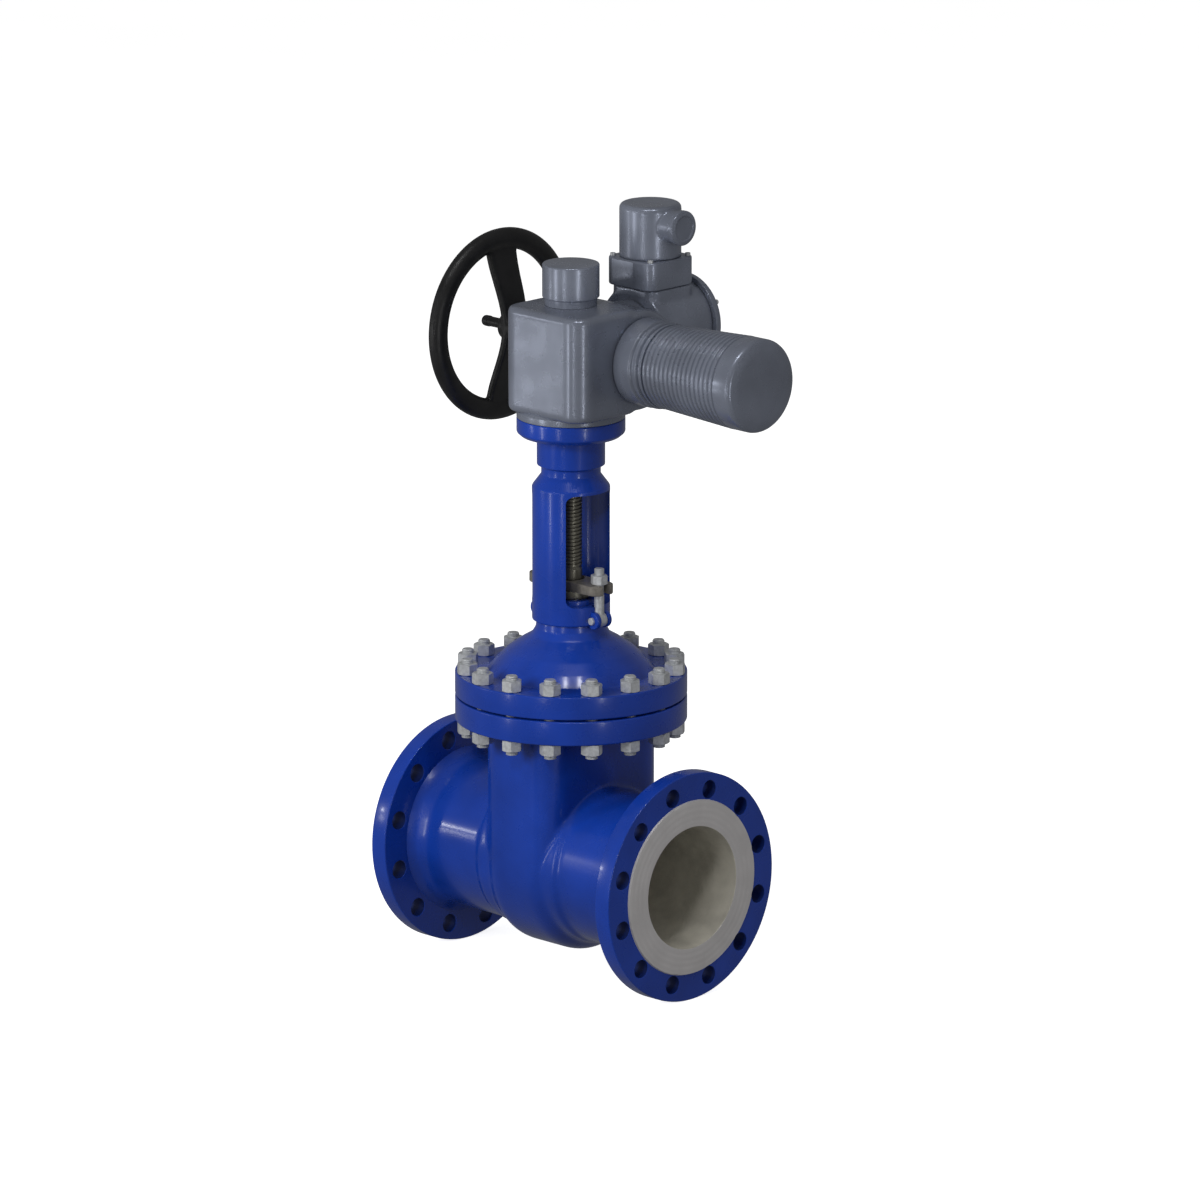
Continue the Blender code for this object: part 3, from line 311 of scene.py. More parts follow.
# %% Plated fasteners
def plated(name, colour, roughness):
    made, nodes, links, shader, where = new_finish(name)
    patches = noise(nodes, links, where, 190, 4)
    darker = tuple(c * 0.72 for c in colour)
    tone = blend_colours(nodes, links, spread(nodes, links, patches, 0.0, 1.0), darker, colour)
    links.new(tone, shader.inputs["Base Color"])
    links.new(spread(nodes, links, patches, roughness + 0.1, roughness - 0.06), shader.inputs["Roughness"])
    shader.inputs["Metallic"].default_value = 0.55
    bump(nodes, links, shader, noise(nodes, links, where, 900, 2), 0.0001, 0.3)
    return made


zinc = plated("zinc_plating", (0.66, 0.68, 0.70), 0.38)
plate_steel = plated("gland_plate_steel", (0.27, 0.25, 0.22), 0.45)


# %% Moulded and pressed stuff
def moulded(name, colour, roughness, grain, depth):
    made, nodes, links, shader, where = new_finish(name)
    tone = tuple(c * 1.5 + 0.003 for c in colour)
    cloud = spread(nodes, links, noise(nodes, links, where, 35, 4), 0.0, 1.0)
    links.new(blend_colours(nodes, links, cloud, colour, tone), shader.inputs["Base Color"])
    dull = spread(nodes, links, noise(nodes, links, where, 80, 3), roughness - 0.05, roughness + 0.08)
    links.new(dull, shader.inputs["Roughness"])
    bump(nodes, links, shader, noise(nodes, links, where, grain, 3), depth, 0.35)
    return made


black_plastic = moulded("black_wheel_plastic", (0.005, 0.005, 0.0055), 0.38, 700, 0.00003)
graphite = moulded("pressed_graphite", (0.035, 0.035, 0.037), 0.55, 500, 0.0004)
resin = moulded("dark_resin", (0.05, 0.05, 0.048), 0.5, 900, 0.0001)


# %% Wire in the stator
def winding_wire():
    made, nodes, links, shader, where = new_finish("varnished_winding")
    wires = nodes.new("ShaderNodeTexWave")
    wires.bands_direction = "X"
    wires.inputs["Scale"].default_value = 40
    wires.inputs["Distortion"].default_value = 1.5
    links.new(where, wires.inputs["Vector"])
    tone = blend_colours(nodes, links, wires.outputs["Fac"], (0.16, 0.05, 0.02), (0.50, 0.20, 0.08))
    links.new(tone, shader.inputs["Base Color"])
    shader.inputs["Metallic"].default_value = 0.6
    shader.inputs["Roughness"].default_value = 0.38
    bump(nodes, links, shader, wires.outputs["Fac"], 0.001, 0.6)
    return made


winding = winding_wire()
print(len(bpy.data.materials), "materials so far")

# %% [markdown]
# ## Tools for the shapes
# Most of a valve is turned or could be, so the first tool spins an outline round an axis. An outline
# lists (radius, height) corners in millimetres, and a third number rounds that corner with an arc.
# Castings need soft inner corners where walls meet. A fillet that follows two curved walls is hard to
# bevel, so the shapes are joined, remeshed in small voxels and smoothed, as sand and molten steel would.


# %% Outlines and spinning
def rounded(corners, steps=5):
    """The points of an outline whose corners may carry a radius. The ends of an open one carry none."""
    points = []
    for k, corner in enumerate(corners):
        here = Vector(corner[:2])
        if len(corner) < 3:
            points.append(here)
            continue
        back = (Vector(corners[k - 1][:2]) - here).normalized()
        ahead = (Vector(corners[(k + 1) % len(corners)][:2]) - here).normalized()
        half = back.angle(ahead) / 2
        centre = here + (back + ahead).normalized() * corner[2] / sin(half)
        start = here + back * corner[2] / tan(half) - centre
        end = here + ahead * corner[2] / tan(half) - centre
        for step in range(steps + 1):
            points.append(centre + start.lerp(end, step / steps).normalized() * corner[2])
    return points


def cleaned(bm):
    bmesh.ops.remove_doubles(bm, verts=bm.verts, dist=1e-6)
    bmesh.ops.dissolve_degenerate(bm, edges=bm.edges, dist=1e-7)
    bmesh.ops.recalc_face_normals(bm, faces=bm.faces)
    return bm


ALONG = {
    "Z": Matrix.Identity(4),
    "X": Matrix.Rotation(pi / 2, 4, "Y"),
    "Y": Matrix.Rotation(-pi / 2, 4, "X"),
}


def spun(corners, segments=96, axis="Z", at=(0, 0, 0)):
    """A solid of revolution. Its outline closes on itself, or through the axis where it meets it twice."""
    bm = bmesh.new()
    verts = [bm.verts.new((p.x * MM, 0, p.y * MM)) for p in rounded(corners)]
    pairs = zip(verts, verts[1:] + verts[:1])
    edges = [bm.edges.new(pair) for pair in pairs if pair[0].co.x > 1e-9 or pair[1].co.x > 1e-9]
    bmesh.ops.spin(
        bm, geom=verts + edges, cent=(0, 0, 0), axis=(0, 0, 1), angle=2 * pi, steps=segments, use_merge=True
    )
    return moved(cleaned(bm), at, axis)


def moved(bm, at=(0, 0, 0), axis="Z"):
    """Turns a shape from Z onto an axis and shifts it, in millimetres."""
    bmesh.ops.transform(bm, matrix=Matrix.Translation(Vector(at) * MM) @ ALONG[axis], verts=bm.verts)
    return bm


def disc(radius, low, high, edge):
    """Outline of a cylinder whose rims are rounded by edge."""
    return [(0, low), (radius, low, edge), (radius, high, edge), (0, high)]


def rod(radius, low, high):
    """Outline of a cylinder with sharp rims, mostly used as a drill."""
    return [(0, low), (radius, low), (radius, high), (0, high)]


def tube(inner, outer, low, high, edge):
    return [(inner, low, edge), (outer, low, edge), (outer, high, edge), (inner, high, edge)]


# %% Blocks with rounded edges
def upright_edge(edge):
    return abs(edge.verts[0].co.z - edge.verts[1].co.z) > 1e-6


def block(low, high, upright=0.0, rim=0.0, steps=6):
    """A box. Its upright edges get one radius, and its top and bottom rims another."""
    low, high = Vector(low) * MM, Vector(high) * MM
    bm = bmesh.new()
    bmesh.ops.create_cube(bm, size=1)
    bmesh.ops.scale(bm, vec=high - low, verts=bm.verts)
    bmesh.ops.translate(bm, vec=(low + high) / 2, verts=bm.verts)
    if upright:
        bevelled(bm, [e for e in bm.edges if upright_edge(e)], upright, steps)
    if rim:
        bevelled(bm, [e for e in bm.edges if e.calc_face_angle(0) > 1 and not upright_edge(e)], rim, 4)
    return bm


def bevelled(bm, edges, width, steps):
    bmesh.ops.bevel(
        bm, geom=edges, offset=width * MM, offset_type="OFFSET", segments=steps, profile=0.5,
        affect="EDGES", material=-1, clamp_overlap=True,
    )


# %% Joining, cutting and casting through a helper object
def through_modifiers(bm, set_up, tool=None):
    """Runs modifiers on a shape and gives the result back as a new shape."""
    objects = []
    for shape in (bm, tool):
        if shape is not None:
            mesh = bpy.data.meshes.new("work")
            shape.to_mesh(mesh)
            shape.free()
            objects.append(bpy.data.objects.new("work", mesh))
            bpy.context.scene.collection.objects.link(objects[-1])
    set_up(*objects)
    made = bmesh.new()
    made.from_object(objects[0], bpy.context.evaluated_depsgraph_get())
    for obj in objects:
        bpy.data.objects.remove(obj)
    return made


def combined(bm, tool, operation):
    def set_up(base, other):
        step = base.modifiers.new("step", "BOOLEAN")
        step.operation = operation
        step.solver = "EXACT"
        step.object = other

    return through_modifiers(bm, set_up, tool)


def joined(bm, *tools):
    for tool in tools:
        bm = combined(bm, tool, "UNION")
    return bm


def cut(bm, *tools):
    for tool in tools:
        bm = combined(bm, tool, "DIFFERENCE")
    return bm


def cast(bm, voxel, rounds):
    """Remeshes a joined shape in voxels of that size in millimetres, and smooths its corners."""

    def set_up(base):
        remesh = base.modifiers.new("sand", "REMESH")
        remesh.mode = "VOXEL"
        remesh.voxel_size = voxel * MM
        smooth = base.modifiers.new("flow", "SMOOTH")
        smooth.factor = 0.5
        smooth.iterations = rounds

    return through_modifiers(bm, set_up)


def gathered(*shapes):
    """Puts separate solids into one mesh."""
    bm = shapes[0]
    for shape in shapes[1:]:
        mesh = bpy.data.meshes.new("work")
        shape.to_mesh(mesh)
        shape.free()
        bm.from_mesh(mesh)
        bpy.data.meshes.remove(mesh)
    return bm


def copied(bm, turn):
    """A copy of a shape, moved by a matrix."""
    other = bm.copy()
    bmesh.ops.transform(other, matrix=turn, verts=other.verts)
    return other


# %% Finishing a piece
SHARP_ANGLE = radians(32)


def piece(name, bm, finishes, nodes=(), body="valve"):
    """Makes a shape into an object that rides on a body and stands for the nodes named."""
    bmesh.ops.translate(bm, vec=ORIGIN, verts=bm.verts)
    mesh = bpy.data.meshes.new(name)
    bm.to_mesh(mesh)
    bm.free()
    mesh.shade_smooth()
    mesh.set_sharp_from_angle(angle=SHARP_ANGLE)
    for finish in finishes if isinstance(finishes, list) else [finishes]:
        mesh.materials.append(finish)
    made = bpy.data.objects.new(name, mesh)
    bpy.context.scene.collection.objects.link(made)
    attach(made, body)
    if nodes:
        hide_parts(*nodes)
    print(f"{name}: {len(mesh.polygons)} faces")
    return made


# %% [markdown]
# ## The valve body
# The body is one steel casting: a straight run of pipe, and across it a flat-sided chamber that the
# wedge rises into. It could be modelled as one sculpted skin. It is quicker and truer to cast the soft
# core first, then join the crisp machined flanges to it and drill them.

# %% Sizes of the body
GAP = 0.3
FLANGE_R = 187.5
FACE = 275
FLANGE_FRONT = 272
FLANGE_BACK = 241
RAISED_R = 142.5
BORE_R = 100
PIPE_BOLTS = 12
PIPE_BOLT_CIRCLE = 160
PIPE_BOLT_HOLE = 15
CHAMBER = (82, 135, 147)
CHAMBER_CORNER = 46
BODY_FLANGE = (232, 271.5)
BONNET_FLANGE = (274.5, 312)
STUDS = 16
STUD_CIRCLE = 170
STUD_HOLE_R = 12


# %% The chamber's shape
def chamber(half_x, half_y, bottom, corner, top):
    """A rounded rectangle in plan whose lower end is swung round the flow axis like a drum."""
    outline = rounded([(-half_x, 0), (-half_x, half_y, corner), (half_x, half_y, corner), (half_x, 0)], 8)
    bm = bmesh.new()
    verts = [bm.verts.new((p.x * MM, p.y * MM, 0)) for p in outline]
    edges = [bm.edges.new(pair) for pair in zip(verts, verts[1:])]
    bmesh.ops.spin(bm, geom=verts + edges, cent=(0, 0, 0), axis=(1, 0, 0), angle=-pi, steps=40)
    bmesh.ops.remove_doubles(bm, verts=bm.verts, dist=1e-6)
    bmesh.ops.scale(bm, vec=(1, 1, bottom / half_y), verts=bm.verts)
    rim = [e for e in bm.edges if e.is_boundary]
    raised = bmesh.ops.extrude_edge_only(bm, edges=rim)["geom"]
    rim_verts = [v for v in raised if isinstance(v, bmesh.types.BMVert)]
    bmesh.ops.translate(bm, vec=(0, 0, top * MM), verts=rim_verts)
    bmesh.ops.holes_fill(bm, edges=[e for e in bm.edges if e.is_boundary], sides=0)
    return cleaned(bm)


# %% The cast core: necks, shoulders and chamber
NECK_R = 124.5
SHOULDER_R = 129
SHOULDER_END = 87
half_run = [
    (SHOULDER_R, SHOULDER_END, 4),
    (NECK_R, SHOULDER_END + 5, 4),
    (NECK_R, 208, 20),
    (131, 229, 10),
    (143, FLANGE_BACK + 8),
    (0, FLANGE_BACK + 8),
]
run = [(r, -x, *fillet) for r, x, *fillet in reversed(half_run)] + half_run
core = joined(spun(run, 128, "X"), chamber(*CHAMBER, CHAMBER_CORNER, BODY_FLANGE[0] + 15))
core = cast(core, 3.6, 9)
print("cast core:", len(core.faces), "faces")

# %% The crisp flanges
pipe_flange = [
    (0, FLANGE_BACK),
    (FLANGE_R, FLANGE_BACK, 2),
    (FLANGE_R, FLANGE_FRONT, 2),
    (RAISED_R + 1, FLANGE_FRONT, 0.8),
    (RAISED_R, FACE, 0.8),
    (0, FACE),
]
outlet_flange = spun(pipe_flange, 144, "X")
inlet_flange = copied(outlet_flange, Matrix.Rotation(pi, 4, "Z"))
top_flange = spun(disc(FLANGE_R, *BODY_FLANGE, 2.5), 144)
body_casting = joined(core, gathered(outlet_flange, inlet_flange), top_flange)


# %% Drilling
def drills(circle, radius, count, low, high, chamfer=0.0):
    """Drill shapes on a circle. The chamfer opens both ends of each hole."""
    shapes = []
    for k in range(count):
        angle = 2 * pi * (k + 0.5) / count
        at = (circle * cos(angle), circle * sin(angle), 0)
        wide = radius + chamfer + 4
        outline = [
            (0, low - 4), (wide, low - 4), (radius, low + chamfer),
            (radius, high - chamfer), (wide, high + 4), (0, high + 4),
        ]
        shapes.append(spun(outline if chamfer else rod(radius, low - 4, high + 4), 28, at=at))
    return gathered(*shapes)


pipe_drills = drills(PIPE_BOLT_CIRCLE, PIPE_BOLT_HOLE, PIPE_BOLTS, FLANGE_BACK, FLANGE_FRONT, 0.8)
pipe_drills = moved(pipe_drills, axis="X")
far_drills = copied(pipe_drills, Matrix.Rotation(pi, 4, "Z"))
stud_drills = drills(STUD_CIRCLE, STUD_HOLE_R, STUDS, *BODY_FLANGE)
body_casting = cut(body_casting, gathered(pipe_drills, far_drills), stud_drills)
print("drilled", 2 * PIPE_BOLTS, "pipe bolt holes and", STUDS, "stud holes")

# %% The bore and the wedge chamber inside
WALL = 17
cavity = chamber(*[size - WALL for size in CHAMBER], CHAMBER_CORNER - 14, BODY_FLANGE[1] + 5)
bore = [
    (0, -FACE - 5), (BORE_R + 3, -FACE - 5), (BORE_R, -FACE + 1.5),
    (BORE_R, FACE - 1.5), (BORE_R + 3, FACE + 5), (0, FACE + 5),
]
SEAT_R = 112
SEAT_BACK = 73
seat_pockets = spun(rod(SEAT_R + GAP, -SEAT_BACK, SEAT_BACK), 96, "X")
body_casting = cut(body_casting, cavity, spun(bore, 128, "X"), seat_pockets)

# %% Which faces are painted, turned or bare
PAINTED, FACED, BORED, DRILLED = 0, 1, 2, 3
for face in body_casting.faces:
    middle = face.calc_center_median() / MM
    off_axis = (middle.y ** 2 + middle.z ** 2) ** 0.5
    if abs(middle.x) > FLANGE_FRONT - 0.01 and off_axis < RAISED_R + 1.2:
        face.material_index = FACED
    # The walls of the bolt holes take the darker hole paint, which is painted shade in the holes.
    in_flange = FLANGE_BACK + 0.2 < abs(middle.x) < FLANGE_FRONT - 0.2
    if in_flange and off_axis < FLANGE_R - 8 and abs(face.normal.x) < 0.5:
        face.material_index = DRILLED
    if off_axis < BORE_R + 1.9:
        face.material_index = BORED
    inside = abs(middle.x) < CHAMBER[0] - WALL + 12 and abs(middle.y) < CHAMBER[1] - WALL + 1
    if inside and face.normal.dot(middle) < 0:
        face.material_index = BORED
body_finishes = [blue_paint, flange_steel, bore_steel, hole_paint_darkened_as_shade]
piece("body_casting", body_casting, body_finishes, ["valve_body"])

# %% [markdown]
# ## Wedge and seats
# The wedge is the gate: a disc whose two faces lean five degrees, so that it jams shut between two
# seat rings. Both are turned, then sawn at the slant, which bisect_plane does in one cut.

# %% Slanted faces
WEDGE_SLOPE = radians(5)
WEDGE_HALF = 24


def sloped(bm, side, shift, keep_inner):
    """Cuts a shape by the slanting plane of one seat, and closes it."""
    point = Vector((side * (WEDGE_HALF + shift) * MM, 0, 0))
    normal = Vector((side * cos(WEDGE_SLOPE), 0, -sin(WEDGE_SLOPE)))
    geom = bm.verts[:] + bm.edges[:] + bm.faces[:]
    bmesh.ops.bisect_plane(
        bm, geom=geom, plane_co=point, plane_no=normal, clear_outer=keep_inner, clear_inner=not keep_inner
    )
    rim = [e for e in bm.edges if e.is_boundary]
    bmesh.ops.edgenet_fill(bm, edges=rim) if keep_inner else bmesh.ops.bridge_loops(bm, edges=rim)
    return bm


WEDGE_R = 108
gate = spun([(0, -60), (WEDGE_R, -60), (WEDGE_R, 60), (0, 60)], 96, "X")
for side in (-1, 1):
    gate = sloped(gate, side, 0, True)
gate = cleaned(gate)
boss = spun([(0, 60), (30, 60), (30, 128, 3), (0, 128)], 48)
gate = cut(joined(gate, boss), spun(rod(18.4, 96, 140), 48))
piece("wedge_gate", gate, ground_steel, ["wedge"], "stem_and_wedge")

# %% Seat rings
for side, label in ((-1, "inlet"), (1, "outlet")):
    ring = spun(tube(BORE_R + GAP, SEAT_R, 0, SEAT_BACK - GAP, 0.8), 96, "X")
    if side < 0:
        bmesh.ops.rotate(ring, verts=ring.verts, cent=(0, 0, 0), matrix=Matrix.Rotation(pi, 3, "Z"))
    ring = cleaned(sloped(ring, side, GAP, False))
    piece(f"seat_{label}", ring, ground_steel, [f"seat_ring_{label}"])

# %% [markdown]
# ## The bonnet
# The bonnet closes the chamber. Its dome rises in one sweep to the neck that holds the stem packing.
# It is turned all over in shape, so one spun outline gives the flange, dome, neck and stuffing box.

# %% Dome, neck and stuffing box
NECK_TOP = 396
BOX_TOP = 434
BOX_R = 28.5
dome = [
    (118, BONNET_FLANGE[0], 1),
    (FLANGE_R, BONNET_FLANGE[0], 2.5),
    (FLANGE_R, BONNET_FLANGE[1], 2.5),
    (136, BONNET_FLANGE[1], 6),
    (121, 330, 30),
    (103, 347, 40),
    (82, 361.5, 40),
    (64, 372, 14),
    (57, 384, 12),
    (56, NECK_TOP, 1),
    (44, NECK_TOP, 1),
    (44, BOX_TOP, 1),
    (BOX_R, BOX_TOP, 1),
    (BOX_R, 385),
    (19, 385),
    (19, 372),
    (26.3, 372),
    (26.3, 350),
    (62, 345, 4),
    (84, 331, 4),
    (108, 309, 8),
]
bonnet = cut(spun(dome, 144), drills(STUD_CIRCLE, STUD_HOLE_R, STUDS, *BONNET_FLANGE, 1.2))
piece("bonnet_casting", bonnet, blue_paint, ["bonnet"])

# %% [markdown]
# ## Studs and nuts
# Sixteen studs hold the bonnet, each with a nut above and below. A real nut is a hexagon turned on its
# ends, so its corners are cut by a cone. Here a spun barrel is intersected with a hexagonal prism, which
# gives the curved chamfer lines. The threads are fine rings on the stud's end.


# %% A hexagon nut
def hexagonal(radius, low, high, hole=0.0):
    """A nut or bolt head with turned corners. The radius reaches its corners."""
    prism = bmesh.new()
    bmesh.ops.create_cone(
        prism, cap_ends=True, segments=6, radius1=radius * MM, radius2=radius * MM, depth=(high - low) * MM,
        matrix=Matrix.Translation((0, 0, (low + high) / 2 * MM)),
    )
    flat = radius * cos(pi / 6)
    slope = (radius - flat) * 0.62
    barrel = [
        (0, low - 0.1), (flat * 0.97, low - 0.1), (radius + 0.2, low + slope),
        (radius + 0.2, high - slope), (flat * 0.97, high + 0.1), (0, high + 0.1),
    ]
    made = combined(prism, spun(barrel, 60), "INTERSECT")
    return cut(made, spun(rod(hole, low - 5, high + 5), 32)) if hole else made


def threaded(radius, low, high, pitch):
    """Outline of a threaded rod: V grooves a pitch apart, and a chamfered end."""
    outline = [(0, low), (radius - pitch * 0.6, low)]
    turns = int((high - low) / pitch)
    for k in range(turns):
        start = low + pitch * (k + 0.3)
        outline += [(radius, start), (radius, start + pitch * 0.12)]
        outline.append((radius - pitch * 0.5, start + pitch * 0.56))
    return outline + [(radius - pitch * 0.6, high), (0, high)]


# %% The stud with its two nuts, sixteen times
STUD_R = 10
NUT_R = 17.3
NUT_HEIGHT = 18
STUD_END = 7
under = BODY_FLANGE[0] - GAP
over = BONNET_FLANGE[1] + GAP
rod_outline = threaded(STUD_R, under - NUT_HEIGHT - STUD_END, over + NUT_HEIGHT + STUD_END, 2.5)
one_stud = joined(
    spun(rod_outline, 28),
    hexagonal(NUT_R, under - NUT_HEIGHT, under),
    hexagonal(NUT_R, over, over + NUT_HEIGHT),
)
for k in range(STUDS):
    angle = 2 * pi * (k + 0.5) / STUDS
    place = Matrix.Translation((STUD_CIRCLE * MM * cos(angle), STUD_CIRCLE * MM * sin(angle), 0))
    place = place @ Matrix.Rotation(angle, 4, "Z")
    stud = copied(one_stud, place)
    piece(f"stud_and_nuts_{k + 1:02d}", stud, zinc, [f"bonnet_stud_{k + 1:02d}"])
one_stud.free()

# %% [markdown]
# ## The yoke
# The yoke carries the actuator above the packing. It is a thick tube with a window on each side, so
# that a fitter can reach the gland. The tube is spun and the windows are cut with round corners.
# Two lugs at its foot hold the swing bolts of the gland.

# %% Tube, collar and flange
YOKE_FOOT = 396.3
WINDOW = (427, 612)
YOKE_TOP = 730
yoke_outline = [
    (44.4, YOKE_FOOT, 0.6),
    (63, YOKE_FOOT, 2.5),
    (63, 617, 8),
    (48, 637, 4),
    (48, 650, 3),
    (55, 652.5, 1.5),
    (55, 699, 4),
    (80, 700, 4),
    (87.5, 706.5, 5),
    (87.5, YOKE_TOP, 1.5),
    (38, YOKE_TOP),
    (38, 690),
    (24, 690),
    (24, 622),
    (34, 615),
    (52, 600, 8),
    (52, WINDOW[0], 2),
    (44.4, WINDOW[0]),
]
yoke = spun(yoke_outline, 128)
WINDOW_HALF = 50


def window(radius):
    """The cutter of both windows: a bar along X with round edges."""
    middle, height = sum(WINDOW) / 2, WINDOW[1] - WINDOW[0]
    bar = block((-height / 2, -WINDOW_HALF, -100), (height / 2, WINDOW_HALF, 100), radius)
    return moved(bar, (0, 0, middle), "X")


yoke = cut(yoke, window(12))
print("window", 2 * WINDOW_HALF, "mm wide and", WINDOW[1] - WINDOW[0], "mm high")

# %% Lugs for the swing bolts
EYE_X = 64
PIN_Z = 405
for side in (-1, 1):
    ear = spun(disc(14, -16, 16, 2), 48, "Y", (side * EYE_X, 0, PIN_Z))
    web = block((side * 55 - 9, -16, PIN_Z - 8.4), (side * 55 + 9, 16, PIN_Z + 13.5), 0, 1)
    yoke = joined(yoke, ear, web)
for side in (-1, 1):
    slot = block((side * 75 - 23, -8.6, PIN_Z - 30), (side * 75 + 23, 8.6, PIN_Z + 27))
    yoke = cut(yoke, slot, spun(rod(6.3, -25, 25), 32, "Y", (side * EYE_X, 0, PIN_Z)))
piece("yoke_tube", yoke, blue_paint, ["yoke"])

# %% [markdown]
# ## The gland
# A plate presses the follower down on the packing rings. Two swing bolts pull it: each has an eye on a
# pin in the yoke's lug, and swings out when its nut is loosened.

# %% Follower and plate
PLATE = (448.3, 464)
follower = [
    (18.4, 426.3), (BOX_R - GAP, 426.3, 0.5), (BOX_R - GAP, 436),
    (34, 436, 1), (34, PLATE[0] - GAP, 1), (18.4, PLATE[0] - GAP),
]
piece("follower", spun(follower, 64), shaft_steel, ["gland_follower"])
plate = block((-82, -24, PLATE[0]), (82, 24, PLATE[1]), 18, 1.2)
plate_hole = [(0, 440), (24, 440), (22, PLATE[0] + 2), (22, PLATE[1] - 2), (24.5, 470), (0, 470)]
plate = cut(plate, spun(plate_hole, 64))
for side in (-1, 1):
    mouth = block((side * 77 - 13, -9, 440), (side * 77 + 13, 9, 475))
    plate = cut(plate, mouth, spun(rod(9, 440, 475), 32, at=(side * EYE_X, 0, 0)))
piece("gland_plate", plate, plate_steel, ["gland_flange"])

# %% Swing bolts, pins and nuts
for side, label in ((-1, "inlet_side"), (1, "outlet_side")):
    at = (side * EYE_X, 0, 0)
    pin_at = (side * EYE_X, 0, PIN_Z)
    plain = [(0, PIN_Z + 8), (8, PIN_Z + 8), (8, 446), (7.2, 447)]
    shank = spun(plain + threaded(8, 448, 490, 2)[1:], 32, at=at)
    eye = spun(tube(6.3, 12, -8, 8, 1.5), 48, "Y", pin_at)
    neck = spun([(0, PIN_Z + 7.2), (8.4, PIN_Z + 7.2), (8, PIN_Z + 16), (0, PIN_Z + 16)], 32, at=at)
    piece(f"swing_bolt_{label}", joined(shank, neck, eye), zinc, [f"eye_bolt_{label}"])
    pin = [(0, -20), (6, -20, 1), (6, 18), (8.5, 18), (8.5, 20, 0.8), (0, 20)]
    piece(f"hinge_pin_{label}", spun(pin, 32, "Y", pin_at), zinc, [f"eye_pin_{label}"])
    nut = moved(hexagonal(13.8, PLATE[1] + GAP, PLATE[1] + 15.3, 8.2), at)
    piece(f"swing_nut_{label}", nut, zinc, [f"gland_nut_{label}"])

# %% [markdown]
# ## The stem
# The stem's upper half is a trapezoidal screw of 36 by 6 millimetres. The nut in the actuator climbs on
# it, so the stem rises without turning. A helix needs each section joined to the one a pitch above.
# A spin that also shifts along its axis does that: the outline of one thread is swept up turn by turn,
# and the neighbouring turns merge. The rest is a plain ground shank.

# %% A helical thread
STEM_R = 18
THREAD_PITCH = 6
THREAD_LOW, STEM_TOP = 484, 766


def screw_thread(radius, depth, pitch, low, high, steps=36):
    """A helical thread between two heights, closed at both ends."""
    turns = int((high - low) / pitch) + 3
    root = radius - depth
    outline = [(root, 0), (root, 0.32), (radius, 0.45), (radius, 0.87), (root, 1)]
    bm = bmesh.new()
    verts = [bm.verts.new((r * MM, 0, (low - pitch + share * pitch) * MM)) for r, share in outline]
    edges = [bm.edges.new(pair) for pair in zip(verts, verts[1:])]
    bmesh.ops.spin(
        bm, geom=verts + edges, cent=(0, 0, 0), axis=(0, 0, 1), angle=2 * pi * turns,
        steps=steps * turns, dvec=(0, 0, pitch * MM / steps),
    )
    bmesh.ops.remove_doubles(bm, verts=bm.verts, dist=2e-6)
    for height, up in ((low, -1), (high, 1)):
        geom = bm.verts[:] + bm.edges[:] + bm.faces[:]
        bmesh.ops.bisect_plane(
            bm, geom=geom, plane_co=(0, 0, height * MM), plane_no=(0, 0, up), clear_outer=True
        )
        level = {v for v in bm.verts if abs(v.co.z - height * MM) < 1e-6}
        rim = [e for e in bm.edges if e.is_boundary and level.issuperset(e.verts)]
        bmesh.ops.edgenet_fill(bm, edges=rim)
    return cleaned(bm)


thread = screw_thread(STEM_R, 2.6, THREAD_PITCH, THREAD_LOW, STEM_TOP)
STEM_FOOT = 96.4
shank = [
    (0, STEM_FOOT), (STEM_R, STEM_FOOT, 2), (STEM_R, THREAD_LOW - 4, 0.5),
    (STEM_R - 3, THREAD_LOW + 1), (0, THREAD_LOW + 1),
]
stem = joined(thread, spun(shank, 64))
piece("rising_stem", stem, shaft_steel, ["stem"], "stem_and_wedge")

# %% [markdown]
# ## The gear housing
# The housing is a smooth aluminium casting: a block round the worm wheel, a barrel round the worm, and a
# round neck towards the switches. As with the body, the rough shapes are joined, cast soft, and only the
# mounting flange below is turned sharp.

# %% Block, barrel and neck
WORM_Y, WORM_Z = 60, 828
DRIVE = (0, WORM_Y, WORM_Z)
SWITCH_X, SWITCH_Z = 25, 857
SWITCH_AXIS = (SWITCH_X, 0, SWITCH_Z)
GEAR_X, GEAR_Z = (-75, 102), (742, 914)
gear_block = block((GEAR_X[0], -85, GEAR_Z[0]), (GEAR_X[1], 62, GEAR_Z[1]), 31, 9)
worm_barrel = spun(disc(82, *GEAR_X, 8), 96, "X", DRIVE)
switch_neck = spun(rod(51, 20, 112), 96, "Y", SWITCH_AXIS)
housing = cast(joined(gear_block, worm_barrel, switch_neck), 2.6, 10)
foot = spun([(0, 730.3), (87.5, 730.3, 1.5), (87.5, 741, 2), (80, 748, 5), (70, 756), (0, 756)], 128)
housing = joined(housing, foot)
print("gear housing:", len(housing.faces), "faces")

# %% Bored for the wheel and the worm
wheel_room = [
    (0, 725), (40, 725), (40, 748), (45.3, 748), (45.3, 764), (56, 764), (56, 893),
    (45.3, 893), (45.3, 909), (35, 909), (35, 930), (0, 930),
]
housing = cut(
    housing,
    spun(wheel_room, 64),
    spun(rod(25, GEAR_X[0] - 5, GEAR_X[1] + 5), 48, "X", DRIVE),
    spun(rod(14, WORM_Y, 120), 32, "Y", SWITCH_AXIS),
)
piece("gear_housing", housing, grey_paint, ["gearbox_housing"])

